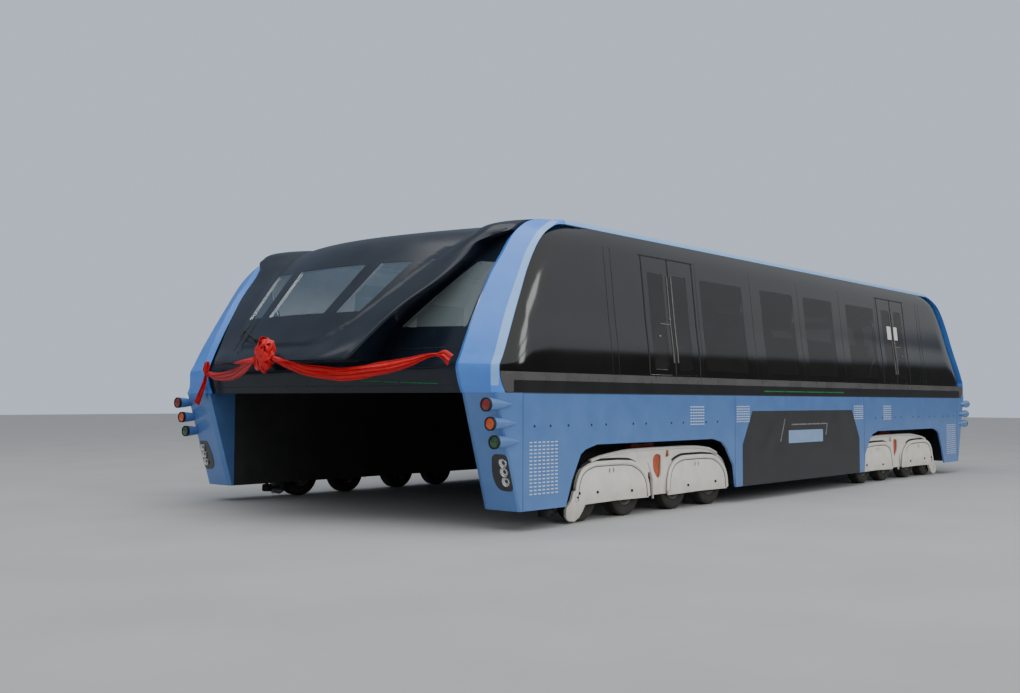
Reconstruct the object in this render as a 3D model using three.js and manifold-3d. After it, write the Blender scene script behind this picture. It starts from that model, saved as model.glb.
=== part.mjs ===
// Straddling bus: a cabin on two hollow legs, with a traffic lane clear beneath it.
// Units are millimetres. +X is forward, +Y is the left side, +Z is up.
import * as THREE from "three";
import { mergeVertices } from "three/addons/utils/BufferGeometryUtils.js";
import Module from "manifold-3d";

const wasm = await Module();
wasm.setup();

// Overall sizes
const GAP = 0.3;
const NOSE_X = 11000;
const HALF_W = 3900;
const LANE_Y = 3200;
const LANE_TOP = 2080;
const SKIRT_Z = 300;
const BAND_LOW = 2020;
const FLOOR_Z = 2330;
const RAIL_Z = 4700;
const ROOF_END_X = 7750;

// The sash stands proud of one nose, so the body sits this far behind the middle of the bounding box
const SASH_PROUD = 100;
const SHIFT_X = -SASH_PROUD / 2;

// Body section from the left skirt over the roof's edge to the centre line: [y, z]
const SECTION = [
  [3900, 300], [3900, 2350], [3700, 4350], [3660, 4540], [3590, RAIL_Z],
  [3550, 4775], [3470, 4792], [LANE_Y, 4796], [1200, 4799], [0, 4800],
];

// Corner frame from the roof down to the band. Each row holds the front face at the lane side,
// the front face beside the outer strip, and the back edge, all as x, z. wrap is how far the
// strip's outer edge stands from the back edge, as a share of the way to the front face.
const FRAME = [
  { lane: [7750, 4796], strip: [7750, 4788], back: [7750, RAIL_Z], wrap: 0.85 },
  { lane: [8000, 4785], strip: [7950, 4750], back: [7970, 4668], wrap: 0.4 },
  { lane: [8270, 4720], strip: [8200, 4640], back: [8190, 4585], wrap: 0.12 },
  { lane: [8470, 4610], strip: [8390, 4530], back: [8380, 4480], wrap: 0.1 },
  { lane: [8650, 4460], strip: [8560, 4390], back: [8540, 4345], wrap: 0.1 },
  { lane: [8880, 4150], strip: [8790, 4120], back: [8700, 4150], wrap: 0.08 },
  { lane: [9110, 3860], strip: [8960, 3840], back: [8890, 3860], wrap: 0.08 },
  { lane: [9330, 3500], strip: [9180, 3480], back: [9100, 3460], wrap: 0.08 },
  { lane: [9620, 2950], strip: [9480, 2940], back: [9390, 2920], wrap: 0.08 },
  { lane: [9785, 2570], strip: [9665, 2560], back: [9592, 2540], wrap: 0.08 },
  { lane: [9850, 2410], strip: [9745, 2390], back: [9670, 2390], wrap: 0.1 },
  { lane: [9815, 2250], strip: [9742, 2220], back: [9645, 2220], wrap: 0.35 },
  { lane: [9740, BAND_LOW], strip: [9740, BAND_LOW], back: [9540, BAND_LOW], wrap: 1 },
];
const STRIP_W = 100;
const BEVEL = { y: 90, share: 0.2 };
const FOOT_X = 9230;
const PANEL_SEAM_X = 9150;

// Barrel-shaped nose in level sections from the lip to the roof. x0 is the front at the centre line and
// crease the half width of the barrel face. ridge and outer are the rim's x at its middle and at its
// edge, half is the rim's half width, and root is the half width where the bulge meets the end wall.
// bow is how fast the face falls back to each side, and is BARREL where a level gives none.
const BARREL = 8e-5;
const NOSE = [
  { z: 2500, x0: 10890, crease: 900, ridge: 10770, outer: 10640, half: 1600, root: 1250 },
  { z: 2530, x0: NOSE_X, crease: 950, ridge: 10870, outer: 10680, half: 1680, root: 1280 },
  { z: 2590, x0: 10950, crease: 1000, ridge: 10820, outer: 10640, half: 1740, root: 1300 },
  { z: 2820, x0: 10695, crease: 1150, ridge: 10550, outer: 10460, half: 1860, root: 1370 },
  { z: 3340, x0: 10227, crease: 1490, ridge: 10050, outer: 10020, half: 2180, root: 1720 },
  { z: 3820, x0: 9795, crease: 1810, ridge: 9535, outer: 9510, half: 2560, root: 2290 },
  { z: 4120, x0: 9525, crease: 2010, ridge: 9225, outer: 9200, half: 2680, root: 2590, bow: 8.5e-5 },
  { z: 4340, x0: 9310, crease: 2150, ridge: 9000, outer: 8980, half: 2760, root: 2730, bow: 9.5e-5 },
  { z: 4450, x0: 9190, crease: 2200, ridge: 8890, outer: 8830, half: 2950, root: 2930, bow: 10e-5 },
  { z: 4555, x0: 9050, crease: 2250, ridge: 8790, outer: 8620, half: 3199, root: 3199, bow: 10.5e-5 },
  { z: 4665, x0: 8830, crease: 2300, ridge: 8640, outer: 8450, half: 3199, root: 3199, bow: 10.5e-5 },
  { z: 4740, x0: 8500, crease: 2300, ridge: 8370, outer: 8270, half: 3199, root: 3199, bow: 9e-5 },
  { z: 4785, x0: 8200, crease: 2300, ridge: 8080, outer: 8020, half: 3199, root: 3199, bow: 6e-5 },
  { z: 4830, x0: 7900, crease: 2300, ridge: 7700, outer: 7700, half: 3199, root: 3199, bow: 4e-5 },
];
const RIM_ROUND = 60;
const SOFFIT_Z = 4500;
const SKIN = 60;

// End wall beside the bulge, from the roof to the chin: [x, z]
const END_LINE = [
  [8500, 4555], [8560, 4460], [8780, 4150], [9010, 3860], [9230, 3500], [9520, 2950],
  [9685, 2570], [9750, 2410], [9715, 2250], [9640, BAND_LOW],
];
const END_T = 50;

// Windscreen plane at the centre line: x falls by RAKE for each unit of height above SCREEN_Z
const RAKE = 0.9;
const SCREEN_X = 10920;
const SCREEN_Z = 2570;

// Windscreen panes and the window beside the bulge, left half or whole: [y, z]
const PANES = [
  [[-700, 3280], [700, 3280], [830, 4110], [-830, 4110]],
  [[975, 3280], [1420, 3280], [1720, 4110], [1150, 4110]],
  [[-1420, 3280], [-975, 3280], [-1150, 4110], [-1720, 4110]],
];
const QUARTER = [[1640, 3060], [3090, 3010], [3130, 3980], [2740, 4000]];

// Side windows between the doors: x0, x1
const SIDE_WINDOWS = [[250, 1650], [2400, 3950], [-1650, -250], [-3950, -2400]];
const WINDOW_LOW = 2450;
const WINDOW_TOP = 4120;

// Double-leaf doors: one opening each side of the middle on both flanks
const DOOR = { x0: 4200, split: 5010, x1: 5830, z0: 2352, z1: 4400, play: 6 };

// Wheel cut-outs in the leg panels, centred on BAY_X
const BAY_X = 5580;
const BAY_OUTLINE = [
  [-2630, 290], [-2560, 700], [-2290, 1040], [-2140, 1150], [-1820, 1220],
  [1760, 1220], [2060, 1150], [2180, 1080], [2400, 700], [2560, 290],
];
const BAY_ROOF = 1300;
const BAY_HALF = 2830;
const WALL_T = 40;

// Bogies and wheels
const BOGIE_X = 5450;
const BOGIE_Y = 3520;
const TYRE_R = 420;
const TYRE_HALF = 130;
const TYRE_Y = 3522;
const BORE_R = 65;
const STUB_R = 60;
const COVER_OFFSET = 1350;
const TYRE_OFFSET = 610;

const mirrorY = (list) => list.map(([y, z]) => [-y, z]).reverse();

// Converts a three.js geometry to a solid that can be joined and cut
function solid(geometry) {
  const bare = geometry.clone();
  bare.deleteAttribute("normal");
  bare.deleteAttribute("uv");
  const merged = mergeVertices(bare, 1e-3);
  const mesh = new wasm.Mesh({
    numProp: 3,
    vertProperties: new Float32Array(merged.attributes.position.array),
    triVerts: new Uint32Array(merged.index.array),
  });
  return new wasm.Manifold(mesh);
}

// Converts a solid back to a three.js geometry
function geometryOf(body) {
  const mesh = body.getMesh();
  const geometry = new THREE.BufferGeometry();
  geometry.setAttribute("position", new THREE.BufferAttribute(new Float32Array(mesh.vertProperties), 3));
  geometry.setIndex(new THREE.BufferAttribute(new Uint32Array(mesh.triVerts), 1));
  return geometry;
}

function shapeOf(points) {
  return new THREE.Shape(points.map(([u, v]) => new THREE.Vector2(u, v)));
}

// Extrudes an [y, z] outline from x0 to x1
function alongX(points, x0, x1) {
  const geometry = new THREE.ExtrudeGeometry(shapeOf(points), { depth: x1 - x0, bevelEnabled: false });
  const matrix = new THREE.Matrix4().set(0, 0, 1, x0, 1, 0, 0, 0, 0, 1, 0, 0, 0, 0, 0, 1);
  return solid(geometry.applyMatrix4(matrix));
}

// Extrudes an [x, z] outline from y0 to y1
function alongY(points, y0, y1) {
  const geometry = new THREE.ExtrudeGeometry(shapeOf(points), { depth: y1 - y0, bevelEnabled: false });
  const matrix = new THREE.Matrix4().set(1, 0, 0, 0, 0, 0, -1, y1, 0, 1, 0, 0, 0, 0, 0, 1);
  return solid(geometry.applyMatrix4(matrix));
}

// Extrudes an [x, y] outline from z0 to z1
function alongZ(points, z0, z1) {
  const geometry = new THREE.ExtrudeGeometry(shapeOf(points), { depth: z1 - z0, bevelEnabled: false });
  return solid(geometry.translate(0, 0, z0));
}

function box(x0, x1, y0, y1, z0, z1) {
  const geometry = new THREE.BoxGeometry(x1 - x0, y1 - y0, z1 - z0);
  return solid(geometry.translate((x0 + x1) / 2, (y0 + y1) / 2, (z0 + z1) / 2));
}

// A cylinder between two points, with its own radius at each end
function rod(from, to, r0, r1, sides) {
  const a = new THREE.Vector3(...from);
  const b = new THREE.Vector3(...to);
  const geometry = new THREE.CylinderGeometry(r1, r0, a.distanceTo(b), sides);
  const turn = new THREE.Quaternion().setFromUnitVectors(
    new THREE.Vector3(0, 1, 0), b.clone().sub(a).normalize());
  geometry.applyQuaternion(turn);
  return solid(geometry.translate((a.x + b.x) / 2, (a.y + b.y) / 2, (a.z + b.z) / 2));
}

// Joins level after level of a closed outline, each a list of [x, y, z] that turns anticlockwise seen from the next
function loft(levels) {
  const count = levels[0].length;
  const turn = 2 * Math.PI / count;
  const ring = levels[0].map((point, i) => [Math.cos(i * turn), Math.sin(i * turn)]);
  const last = levels.length - 1;
  const geometry = new THREE.ExtrudeGeometry(shapeOf(ring), { depth: last, steps: last, bevelEnabled: false });
  const place = geometry.attributes.position;
  for (let v = 0; v < place.count; v += 1) {
    const i = (Math.round(Math.atan2(place.getY(v), place.getX(v)) / turn) + count) % count;
    place.setXYZ(v, ...levels[Math.round(place.getZ(v))][i]);
  }
  return solid(geometry);
}

// Reads one coordinate of a line of [a, b] points at a value of the other
function along(line, value, given, wanted) {
  for (let i = 1; i < line.length; i += 1) {
    const p = line[i - 1];
    const q = line[i];
    if ((value - p[given]) * (value - q[given]) <= 0) {
      return p[wanted] + (q[wanted] - p[wanted]) * (value - p[given]) / (q[given] - p[given]);
    }
  }
  throw new Error("the value is off the line");
}

// Moves each edge of a closed outline inwards by a distance
function inset(points, distance) {
  const area = points.reduce((sum, p, i) => {
    const q = points[(i + 1) % points.length];
    return sum + p[0] * q[1] - q[0] * p[1];
  }, 0);
  const sign = Math.sign(area);
  const edges = points.map((p, i) => {
    const q = points[(i + 1) % points.length];
    const length = Math.hypot(q[0] - p[0], q[1] - p[1]);
    const dx = (q[0] - p[0]) / length;
    const dy = (q[1] - p[1]) / length;
    return { x: p[0] - sign * dy * distance, y: p[1] + sign * dx * distance, dx, dy };
  });
  return points.map((p, i) => {
    const e = edges[(i + points.length - 1) % points.length];
    const f = edges[i];
    const cross = e.dx * f.dy - e.dy * f.dx;
    if (Math.abs(cross) < 1e-6) return [f.x, f.y];
    const t = ((f.x - e.x) * f.dy - (f.y - e.y) * f.dx) / cross;
    return [e.x + e.dx * t, e.y + e.dy * t];
  });
}

const flipX = (body) => body.mirror([1, 0, 0]);
const flipY = (body) => body.mirror([0, 1, 0]);
const joined = (list) => list.reduce((sum, body) => sum.add(body));

const group = new THREE.Group();
group.name = "straddling_bus";

// Adds one named mesh, shifted so that the bounding box is centred
function add(name, body, colour, metalness = 0.1, roughness = 0.5, opacity = 1) {
  const geometry = geometryOf(body.translate([SHIFT_X, 0, 0]));
  const material = new THREE.MeshStandardMaterial({
    color: colour, metalness, roughness, opacity, transparent: opacity < 1,
  });
  const mesh = new THREE.Mesh(geometry, material);
  mesh.name = name;
  group.add(mesh);
}

const BLUE = 0x6b90cc;
const DARK = 0x3a3a3c;
const SLATE = 0x2d3440;
const GLASS = 0x55697c;

// Whole body envelope, used to trim everything that follows the skin
const envelope = alongX([...SECTION, ...mirrorY(SECTION).slice(1)], -12000, 12000);

// Deck over the lane, with the band on each edge
const deckOutline = [
  [-HALF_W, BAND_LOW], [-LANE_Y, BAND_LOW], [-LANE_Y, LANE_TOP], [LANE_Y, LANE_TOP],
  [LANE_Y, BAND_LOW], [HALF_W, BAND_LOW], [HALF_W, FLOOR_Z], [-HALF_W, FLOOR_Z],
];
const DECK_END = [[9534, BAND_LOW], [9639, 2220], [9654, FLOOR_Z]];
const DECK_MIDDLE_X = 9600;
const mirrorX = (list) => list.map(([x, z]) => [-x, z]).reverse();
const deck = alongX(deckOutline, -9700, 9700)
  .intersect(alongY([...DECK_END, ...mirrorX(DECK_END)], -4000, 4000))
  .subtract(box(DECK_MIDDLE_X, 9700, -LANE_Y, LANE_Y, 2000, 2400))
  .subtract(box(-9700, -DECK_MIDDLE_X, -LANE_Y, LANE_Y, 2000, 2400));
add("deck_frame", deck, DARK, 0.4, 0.6);

// Leg structure: beam over the wheel bays, inner wall and plain blocks between the bays
const legOutline = [
  [-PANEL_SEAM_X + GAP, 330], [-BAY_X - BAY_HALF, 330], [-BAY_X - BAY_HALF, BAY_ROOF],
  [-BAY_X + BAY_HALF, BAY_ROOF], [-BAY_X + BAY_HALF, 330], [BAY_X - BAY_HALF, 330],
  [BAY_X - BAY_HALF, BAY_ROOF], [BAY_X + BAY_HALF, BAY_ROOF], [BAY_X + BAY_HALF, 330],
  [PANEL_SEAM_X - GAP, 330], [PANEL_SEAM_X - GAP, BAND_LOW - GAP], [-PANEL_SEAM_X + GAP, BAND_LOW - GAP],
];
const legLeft = alongY(legOutline, LANE_Y + WALL_T - 1, HALF_W - WALL_T - GAP)
  .add(box(-PANEL_SEAM_X + GAP, PANEL_SEAM_X - GAP, LANE_Y, LANE_Y + WALL_T, SKIRT_Z, BAND_LOW - GAP));
add("leg_structure_left", legLeft, 0x3c4048, 0.3, 0.7);
add("leg_structure_right", flipY(legLeft), 0x3c4048, 0.3, 0.7);

// Outer leg panels with a cut-out at each bogie
const bayFront = BAY_OUTLINE.map(([x, z]) => [x + BAY_X, z]);
const bayRear = BAY_OUTLINE.map(([x, z]) => [-x - BAY_X, z]).reverse();
const legPanel = box(-PANEL_SEAM_X + GAP, PANEL_SEAM_X - GAP, HALF_W - WALL_T, HALF_W, SKIRT_Z, BAND_LOW - GAP)
  .subtract(alongY(bayFront, 3800, 4000))
  .subtract(alongY(bayRear, 3800, 4000));
add("leg_panel_left", legPanel, BLUE, 0.2, 0.4);
add("leg_panel_right", flipY(legPanel), BLUE, 0.2, 0.4);

// Corner frames: a band from the roof to the knee, the leg's corner below it, three lamp pods and a
// headlamp pocket
const sideY = (z) => along(SECTION, z, 1, 0);
const blend = (p, q, share) => [p[0] + (q[0] - p[0]) * share, p[1] + (q[1] - p[1]) * share];
const at = ([x, z], y) => [x, y, z];
const bandLevel = ({ lane, strip, back, wrap }) => {
  const edge = blend(back, strip, wrap);
  return [
    at(back, LANE_Y), at(back, sideY(back[1])), at(edge, sideY(edge[1])),
    at(strip, sideY(strip[1]) - STRIP_W), at(lane, LANE_Y + BEVEL.y), at(blend(lane, back, BEVEL.share), LANE_Y),
  ];
};
const footX = (z) => FOOT_X + (z - SKIRT_Z) * (9740 - FOOT_X) / (BAND_LOW - SKIRT_Z);
const LAP = 20;
const bandFoot = bandLevel(FRAME[FRAME.length - 1]).map(([x, y]) => [Math.min(x, footX(BAND_LOW - LAP) - 1), y, BAND_LOW - LAP]);
const legLevel = (z) => [
  [PANEL_SEAM_X, LANE_Y, z], [PANEL_SEAM_X, HALF_W, z], [footX(z), HALF_W, z],
  [footX(z), LANE_Y + BEVEL.y, z], [footX(z) - 40, LANE_Y, z],
];
const PODS = [{ x: 9955, z: 1850 }, { x: 9865, z: 1580 }, { x: 9780, z: 1318 }];
const POD = { y: 3888, radius: 100, tailY: 3902, tail: 18, length: 550 };
const lampPods = PODS.map(({ x, z }) =>
  rod([x - POD.length, POD.tailY, z], [x, POD.y, z], POD.tail, POD.radius, 16));
const HEADLAMP = { y0: 3590, y1: 3860, z0: 640, z1: 1110, depth: 45 };
const headPocket = alongY([
  [footX(HEADLAMP.z0) + 20, HEADLAMP.z0], [footX(HEADLAMP.z1) + 20, HEADLAMP.z1],
  [footX(HEADLAMP.z1) - HEADLAMP.depth, HEADLAMP.z1], [footX(HEADLAMP.z0) - HEADLAMP.depth, HEADLAMP.z0],
], HEADLAMP.y0, HEADLAMP.y1);
const cornerFL = loft([...FRAME.map(bandLevel), bandFoot])
  .add(loft([legLevel(BAND_LOW), legLevel(SKIRT_Z)]))
  .subtract(headPocket)
  .add(joined(lampPods));
const cornerFR = flipY(cornerFL);
add("corner_frame_front_left", cornerFL, BLUE, 0.2, 0.35);
add("corner_frame_front_right", cornerFR, BLUE, 0.2, 0.35);
add("corner_frame_rear_left", flipX(cornerFL), BLUE, 0.2, 0.35);
add("corner_frame_rear_right", flipX(cornerFR), BLUE, 0.2, 0.35);

// Cant rails: the pale edge of the roof
const railOutline = [...SECTION.slice(4, 8), [LANE_Y, RAIL_Z]];
const railSolid = alongX(railOutline, -ROOF_END_X + GAP, ROOF_END_X - GAP);
add("cant_rail_left", railSolid, BLUE, 0.2, 0.35);
add("cant_rail_right", flipY(railSolid), BLUE, 0.2, 0.35);

// Roof skin between the rails
const ROOF_T = 50;
const roofHalf = [[LANE_Y - GAP, 4796], ...SECTION.slice(8)];
const roofTop = [...roofHalf, ...mirrorY(roofHalf).slice(1)];
const roofOutline = [...roofTop, ...roofTop.map(([y, z]) => [y, z - ROOF_T]).reverse()];
add("roof_skin", alongX(roofOutline, -ROOF_END_X + GAP, ROOF_END_X - GAP), DARK, 0.2, 0.5);

// Side walls: a leaning plate that curls in under the roof's edge, with windows and doors cut
const WALL = 55;
const wallOuter = [[3900, FLOOR_Z + GAP], ...SECTION.slice(1, 4), [3590, RAIL_Z - GAP]];
const wallOutline = [...wallOuter, ...wallOuter.map(([y, z]) => [y - WALL, z]).reverse()];
const frameBack = FRAME.map(({ back }) => back).reverse();
const wallEnd = frameBack.slice(1).map(([x, z]) => [x - GAP * 2, z]);
const wallSide = [[wallEnd[0][0], 2200], ...wallEnd, ...mirrorX(wallEnd), [-wallEnd[0][0], 2200]];
const wallSkin = alongX(wallOutline, -9700, 9700).intersect(alongY(wallSide, 3000, 4000));
const cuts = SIDE_WINDOWS.map(([x0, x1]) => box(x0, x1, 3400, 4000, WINDOW_LOW, WINDOW_TOP));
for (const side of [1, -1]) {
  const x0 = side > 0 ? DOOR.x0 : -DOOR.x1;
  const x1 = side > 0 ? DOOR.x1 : -DOOR.x0;
  cuts.push(box(x0, x1, 3400, 4000, DOOR.z0, DOOR.z1));
}
const sideWall = cuts.reduce((body, cut) => body.subtract(cut), wallSkin);
add("side_wall_left", sideWall, DARK, 0.1, 0.2);
add("side_wall_right", flipY(sideWall), DARK, 0.1, 0.2);

// Side glazing behind the window openings, bonded to the wall's inner face
const glassOuter = WALL + GAP;
const glassInner = glassOuter + 10;
const glassOutline = [
  [3900 - glassOuter, 2350], [3700 - glassOuter, 4350], [3700 - glassInner, 4350], [3900 - glassInner, 2350],
];
const sideGlass = alongX(glassOutline, -4150, 4150).intersect(box(-4150, 4150, 3000, 4000, 2400, 4180));
add("side_glass_left", sideGlass, GLASS, 0, 0.1, 0.5);
add("side_glass_right", flipY(sideGlass), GLASS, 0, 0.1, 0.5);

// Door leaves of dark glass, flush in the wall
const LEAF_T = 40;
const leafOuter = [[3900, 2350], [3700, 4350], [sideY(DOOR.z1), DOOR.z1]];
const leafOutline = [...leafOuter, ...leafOuter.map(([y, z]) => [y - LEAF_T, z]).reverse()];
const LEAVES = [
  { name: "inner", x0: DOOR.x0 + DOOR.play, x1: DOOR.split - DOOR.play / 2 },
  { name: "outer", x0: DOOR.split + DOOR.play / 2, x1: DOOR.x1 - DOOR.play },
];
for (const { name, x0, x1 } of LEAVES) {
  const leaf = alongX(leafOutline, x0, x1)
    .intersect(box(x0, x1, 3000, 4000, DOOR.z0 + GAP, DOOR.z1 - DOOR.play));
  add(`door_leaf_front_left_${name}`, leaf, GLASS, 0, 0.1, 0.6);
  add(`door_leaf_front_right_${name}`, flipY(leaf), GLASS, 0, 0.1, 0.6);
  add(`door_leaf_rear_left_${name}`, flipX(leaf), GLASS, 0, 0.1, 0.6);
  add(`door_leaf_rear_right_${name}`, flipX(flipY(leaf)), GLASS, 0, 0.1, 0.6);
}

// Nose shells: a hollow barrel-shaped bulge with a broad rim, joined to the raked end wall beside it
const endX = (z) => along(END_LINE, z, 1, 0);
const noseLevel = (row, shrink, backX) => {
  const { x0, crease, ridge, outer, half, root, bow = BARREL } = row;
  const z = row.z - shrink;
  const x = (value) => value - shrink / 3;
  const side = half - shrink;
  const barrel = (y) => x(x0 - bow * y * y);
  const left = [
    [barrel(crease / 2), crease / 2], [barrel(crease), crease], [x(ridge), (crease + half) / 2],
    [x(outer), side - RIM_ROUND], [x(outer) - RIM_ROUND, side], [backX, root - shrink],
  ];
  const right = left.map(([px, py]) => [px, -py]).reverse();
  return [...right, [barrel(0), 0], ...left].map(([px, py]) => [px, py, z]);
};
const rootX = ({ z }) => (z < SOFFIT_Z ? endX(z) - END_T : ROOF_END_X - 100);
const bulge = loft(NOSE.map((row) => noseLevel(row, 0, rootX(row)))).intersect(envelope);
const hollowAt = (shrink) => loft(NOSE.map((row) => noseLevel(row, shrink, rootX(row) - 1)))
  .add(loft(NOSE.map((row) => {
    const front = rootX(row) + 5;
    const side = row.root - shrink;
    return [[7000, -side], [front, -side], [front, side], [7000, side]].map(([x, y]) => [x, y, row.z - shrink]);
  })));
const roofHollow = alongX([...SECTION.slice(3), ...mirrorY(SECTION.slice(3)).slice(1)]
  .map(([y, z]) => [y, z - SKIN]), 7000, 12000);
const NOSE_FLOOR = 2550;
const cavity = hollowAt(SKIN)
  .intersect(box(7000, 12000, -LANE_Y + SKIN, LANE_Y - SKIN, NOSE_FLOOR, 5000))
  .intersect(roofHollow.add(box(7000, 12000, -4000, 4000, 2000, 4400)));
const endOutline = [...END_LINE, ...END_LINE.map(([x, z]) => [x - END_T, z]).reverse()];
const endWall = alongY(endOutline, -LANE_Y + GAP, LANE_Y - GAP);
const quarterCuts = [QUARTER, mirrorY(QUARTER)].map((outline) => alongX(outline, 8500, 9700));
const paneCuts = PANES.map((outline) => alongX(outline, 9300, 11200));
const cut = [cavity, ...quarterCuts, ...paneCuts, box(7000, ROOF_END_X, -4000, 4000, 4000, 5000)];
const nose = cut.reduce((body, tool) => body.subtract(tool), bulge.add(endWall));
add("nose_shell_front", nose, SLATE, 0.2, 0.3);
add("nose_shell_rear", flipX(nose), SLATE, 0.2, 0.3);

// Windscreen glass under the three openings, following the barrel face
const GLASS_T = 12;
const screenOutline = [[-1500, 3200], [1500, 3200], [1810, 4200], [-1810, 4200]];
const screenGlass = hollowAt(SKIN + 2 * GAP)
  .subtract(hollowAt(SKIN + 2 * GAP + GLASS_T))
  .intersect(alongX(screenOutline, 9300, 11000));
add("windscreen_front", screenGlass, GLASS, 0, 0.1, 0.5);
add("windscreen_rear", flipX(screenGlass), GLASS, 0, 0.1, 0.5);

// Quarter windows behind the end wall
const behindEnd = (near, far) => [
  ...END_LINE.map(([x, z]) => [x - near, z]), ...END_LINE.map(([x, z]) => [x - far, z]).reverse(),
];
const quarterFL = alongY(behindEnd(END_T + GAP, END_T + GLASS_T), 1600, LANE_Y - 1)
  .intersect(alongX([[1620, 2970], [3180, 2960], [3190, 4060], [2700, 4080], [1610, 3130]], 8000, 10000));
add("quarter_window_front_left", quarterFL, GLASS, 0, 0.1, 0.5);
add("quarter_window_front_right", flipY(quarterFL), GLASS, 0, 0.1, 0.5);
add("quarter_window_rear_left", flipX(quarterFL), GLASS, 0, 0.1, 0.5);
add("quarter_window_rear_right", flipX(flipY(quarterFL)), GLASS, 0, 0.1, 0.5);

// Wipers: a pivot boss, an arm and a blade, standing off the plane that touches the screen at the pivot
const WIPER = { y: -500, z: 2860 };
const screenNormal = new THREE.Vector3(1, 2 * BARREL * WIPER.y, RAKE).normalize();
const onScreen = (y, z, lift) => {
  const x = SCREEN_X - RAKE * (z - SCREEN_Z) - BARREL * WIPER.y * (2 * y - WIPER.y);
  return [x + screenNormal.x * lift, y + screenNormal.y * lift, z + screenNormal.z * lift];
};
const wiper = joined([
  rod(onScreen(WIPER.y, WIPER.z, -1), onScreen(WIPER.y, WIPER.z, 64), 35, 30, 12),
  rod(onScreen(WIPER.y, WIPER.z, 50), onScreen(-1050, 3030, 40), 14, 12, 8),
  rod(onScreen(-940, 2710, 23), onScreen(-1150, 3300, 23), 12, 12, 8),
  rod(onScreen(-1050, 3030, 46), onScreen(-1050, 3030, 16), 12, 12, 8),
]);
add("wiper_front", wiper, 0x151515, 0.2, 0.6);
add("wiper_rear", flipX(flipY(wiper)), 0x151515, 0.2, 0.6);

// Benches along the cabin sides and a driver's desk in each nose
const benchOutline = [
  [3120, FLOOR_Z + GAP], [3640, FLOOR_Z + GAP], [3640, 3200], [3560, 3240], [3500, 3200],
  [3460, 2800], [3040, 2820], [3040, 2740], [3120, 2720],
];
const bench = alongX(benchOutline, -3900, 3900);
add("bench_left", bench, 0x6f7d8c, 0.1, 0.7);
add("bench_right", flipY(bench), 0x6f7d8c, 0.1, 0.7);
const desk = alongY([
  [9700, NOSE_FLOOR + GAP], [10330, NOSE_FLOOR + GAP], [10330, 2850], [10180, 3000], [9800, 2980],
  [9760, 2930], [9820, 2880], [9820, 2600],
], -1100, 1100);
add("driver_desk_front", desk, 0x2e3238, 0.1, 0.7);
add("driver_desk_rear", flipX(desk), 0x2e3238, 0.1, 0.7);

// Bogies: an inner frame plate, four axle stubs, a bolster, two covers, an arched top beam and a guide arm
const PLATE = { y0: 3335, y1: 3365, z0: 330, z1: 640 };
const COVER = { y0: 3705, y1: 3750 };
const coverOutline = [
  [-1030, 330], [1030, 330], [1000, 560], [880, 790], [675, 920], [-675, 920], [-880, 790], [-1000, 560],
];
const archBeam = [
  [-1780, 1000], [-1700, 1060], [-1350, 1140], [1350, 1140], [1700, 1060],
  [1780, 1000], [1700, 990], [1330, 1080], [-1330, 1080], [-1700, 990],
];
function bogieAt(end) {
  const pieces = [
    box(-2150, 2150, PLATE.y0, PLATE.y1, PLATE.z0, PLATE.z1),
    box(-190, 190, PLATE.y0, 3690, 500, 1180),
    rod([0, BOGIE_Y, 1170], [0, BOGIE_Y, BAY_ROOF - GAP], 110, 110, 20),
    alongY(archBeam, 3640, 3700),
    box(-60, 60, 3600, 3650, 1000, 1120),
    box(-130, 130, 3680, 3720, 600, 1000),
    box(Math.min(0, end * 2510), Math.max(0, end * 2510), PLATE.y0, PLATE.y1, 330, 480),
    box(end * 2465 - 45, end * 2465 + 45, PLATE.y0, 3530, 140, 420),
    rod([end * 2720, 3500, 120], [end * 2720, 3500, 260], 95, 95, 16),
    box(Math.min(end * 2440, end * 2720), Math.max(end * 2440, end * 2720), 3470, 3530, 160, 215),
  ];
  for (const side of [1, -1]) {
    const cover = coverOutline.map(([x, z]) => [x + side * COVER_OFFSET, z]);
    pieces.push(alongY(cover, COVER.y0, COVER.y1));
    for (const step of [1, -1]) {
      const x = side * COVER_OFFSET + step * TYRE_OFFSET;
      pieces.push(rod([x, PLATE.y0 + 5, TYRE_R], [x, COVER.y0 + 10, TYRE_R], STUB_R, STUB_R, 20));
      pieces.push(rod([x, PLATE.y0 + 5, TYRE_R], [x, TYRE_Y - TYRE_HALF - GAP, TYRE_R], 95, 95, 20));
    }
    pieces.push(box(side * 1350 - 40, side * 1350 + 40, 3640, 3705, 850, 1100));
  }
  return joined(pieces).translate([BOGIE_X, 0, 0]);
}
const IVORY = 0xe6e1d2;
const bogieFL = bogieAt(1);
add("bogie_front_left", bogieFL, IVORY, 0.1, 0.6);
add("bogie_front_right", flipY(bogieFL), IVORY, 0.1, 0.6);
add("bogie_rear_left", flipX(bogieFL), IVORY, 0.1, 0.6);
add("bogie_rear_right", flipX(flipY(bogieFL)), IVORY, 0.1, 0.6);

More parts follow.
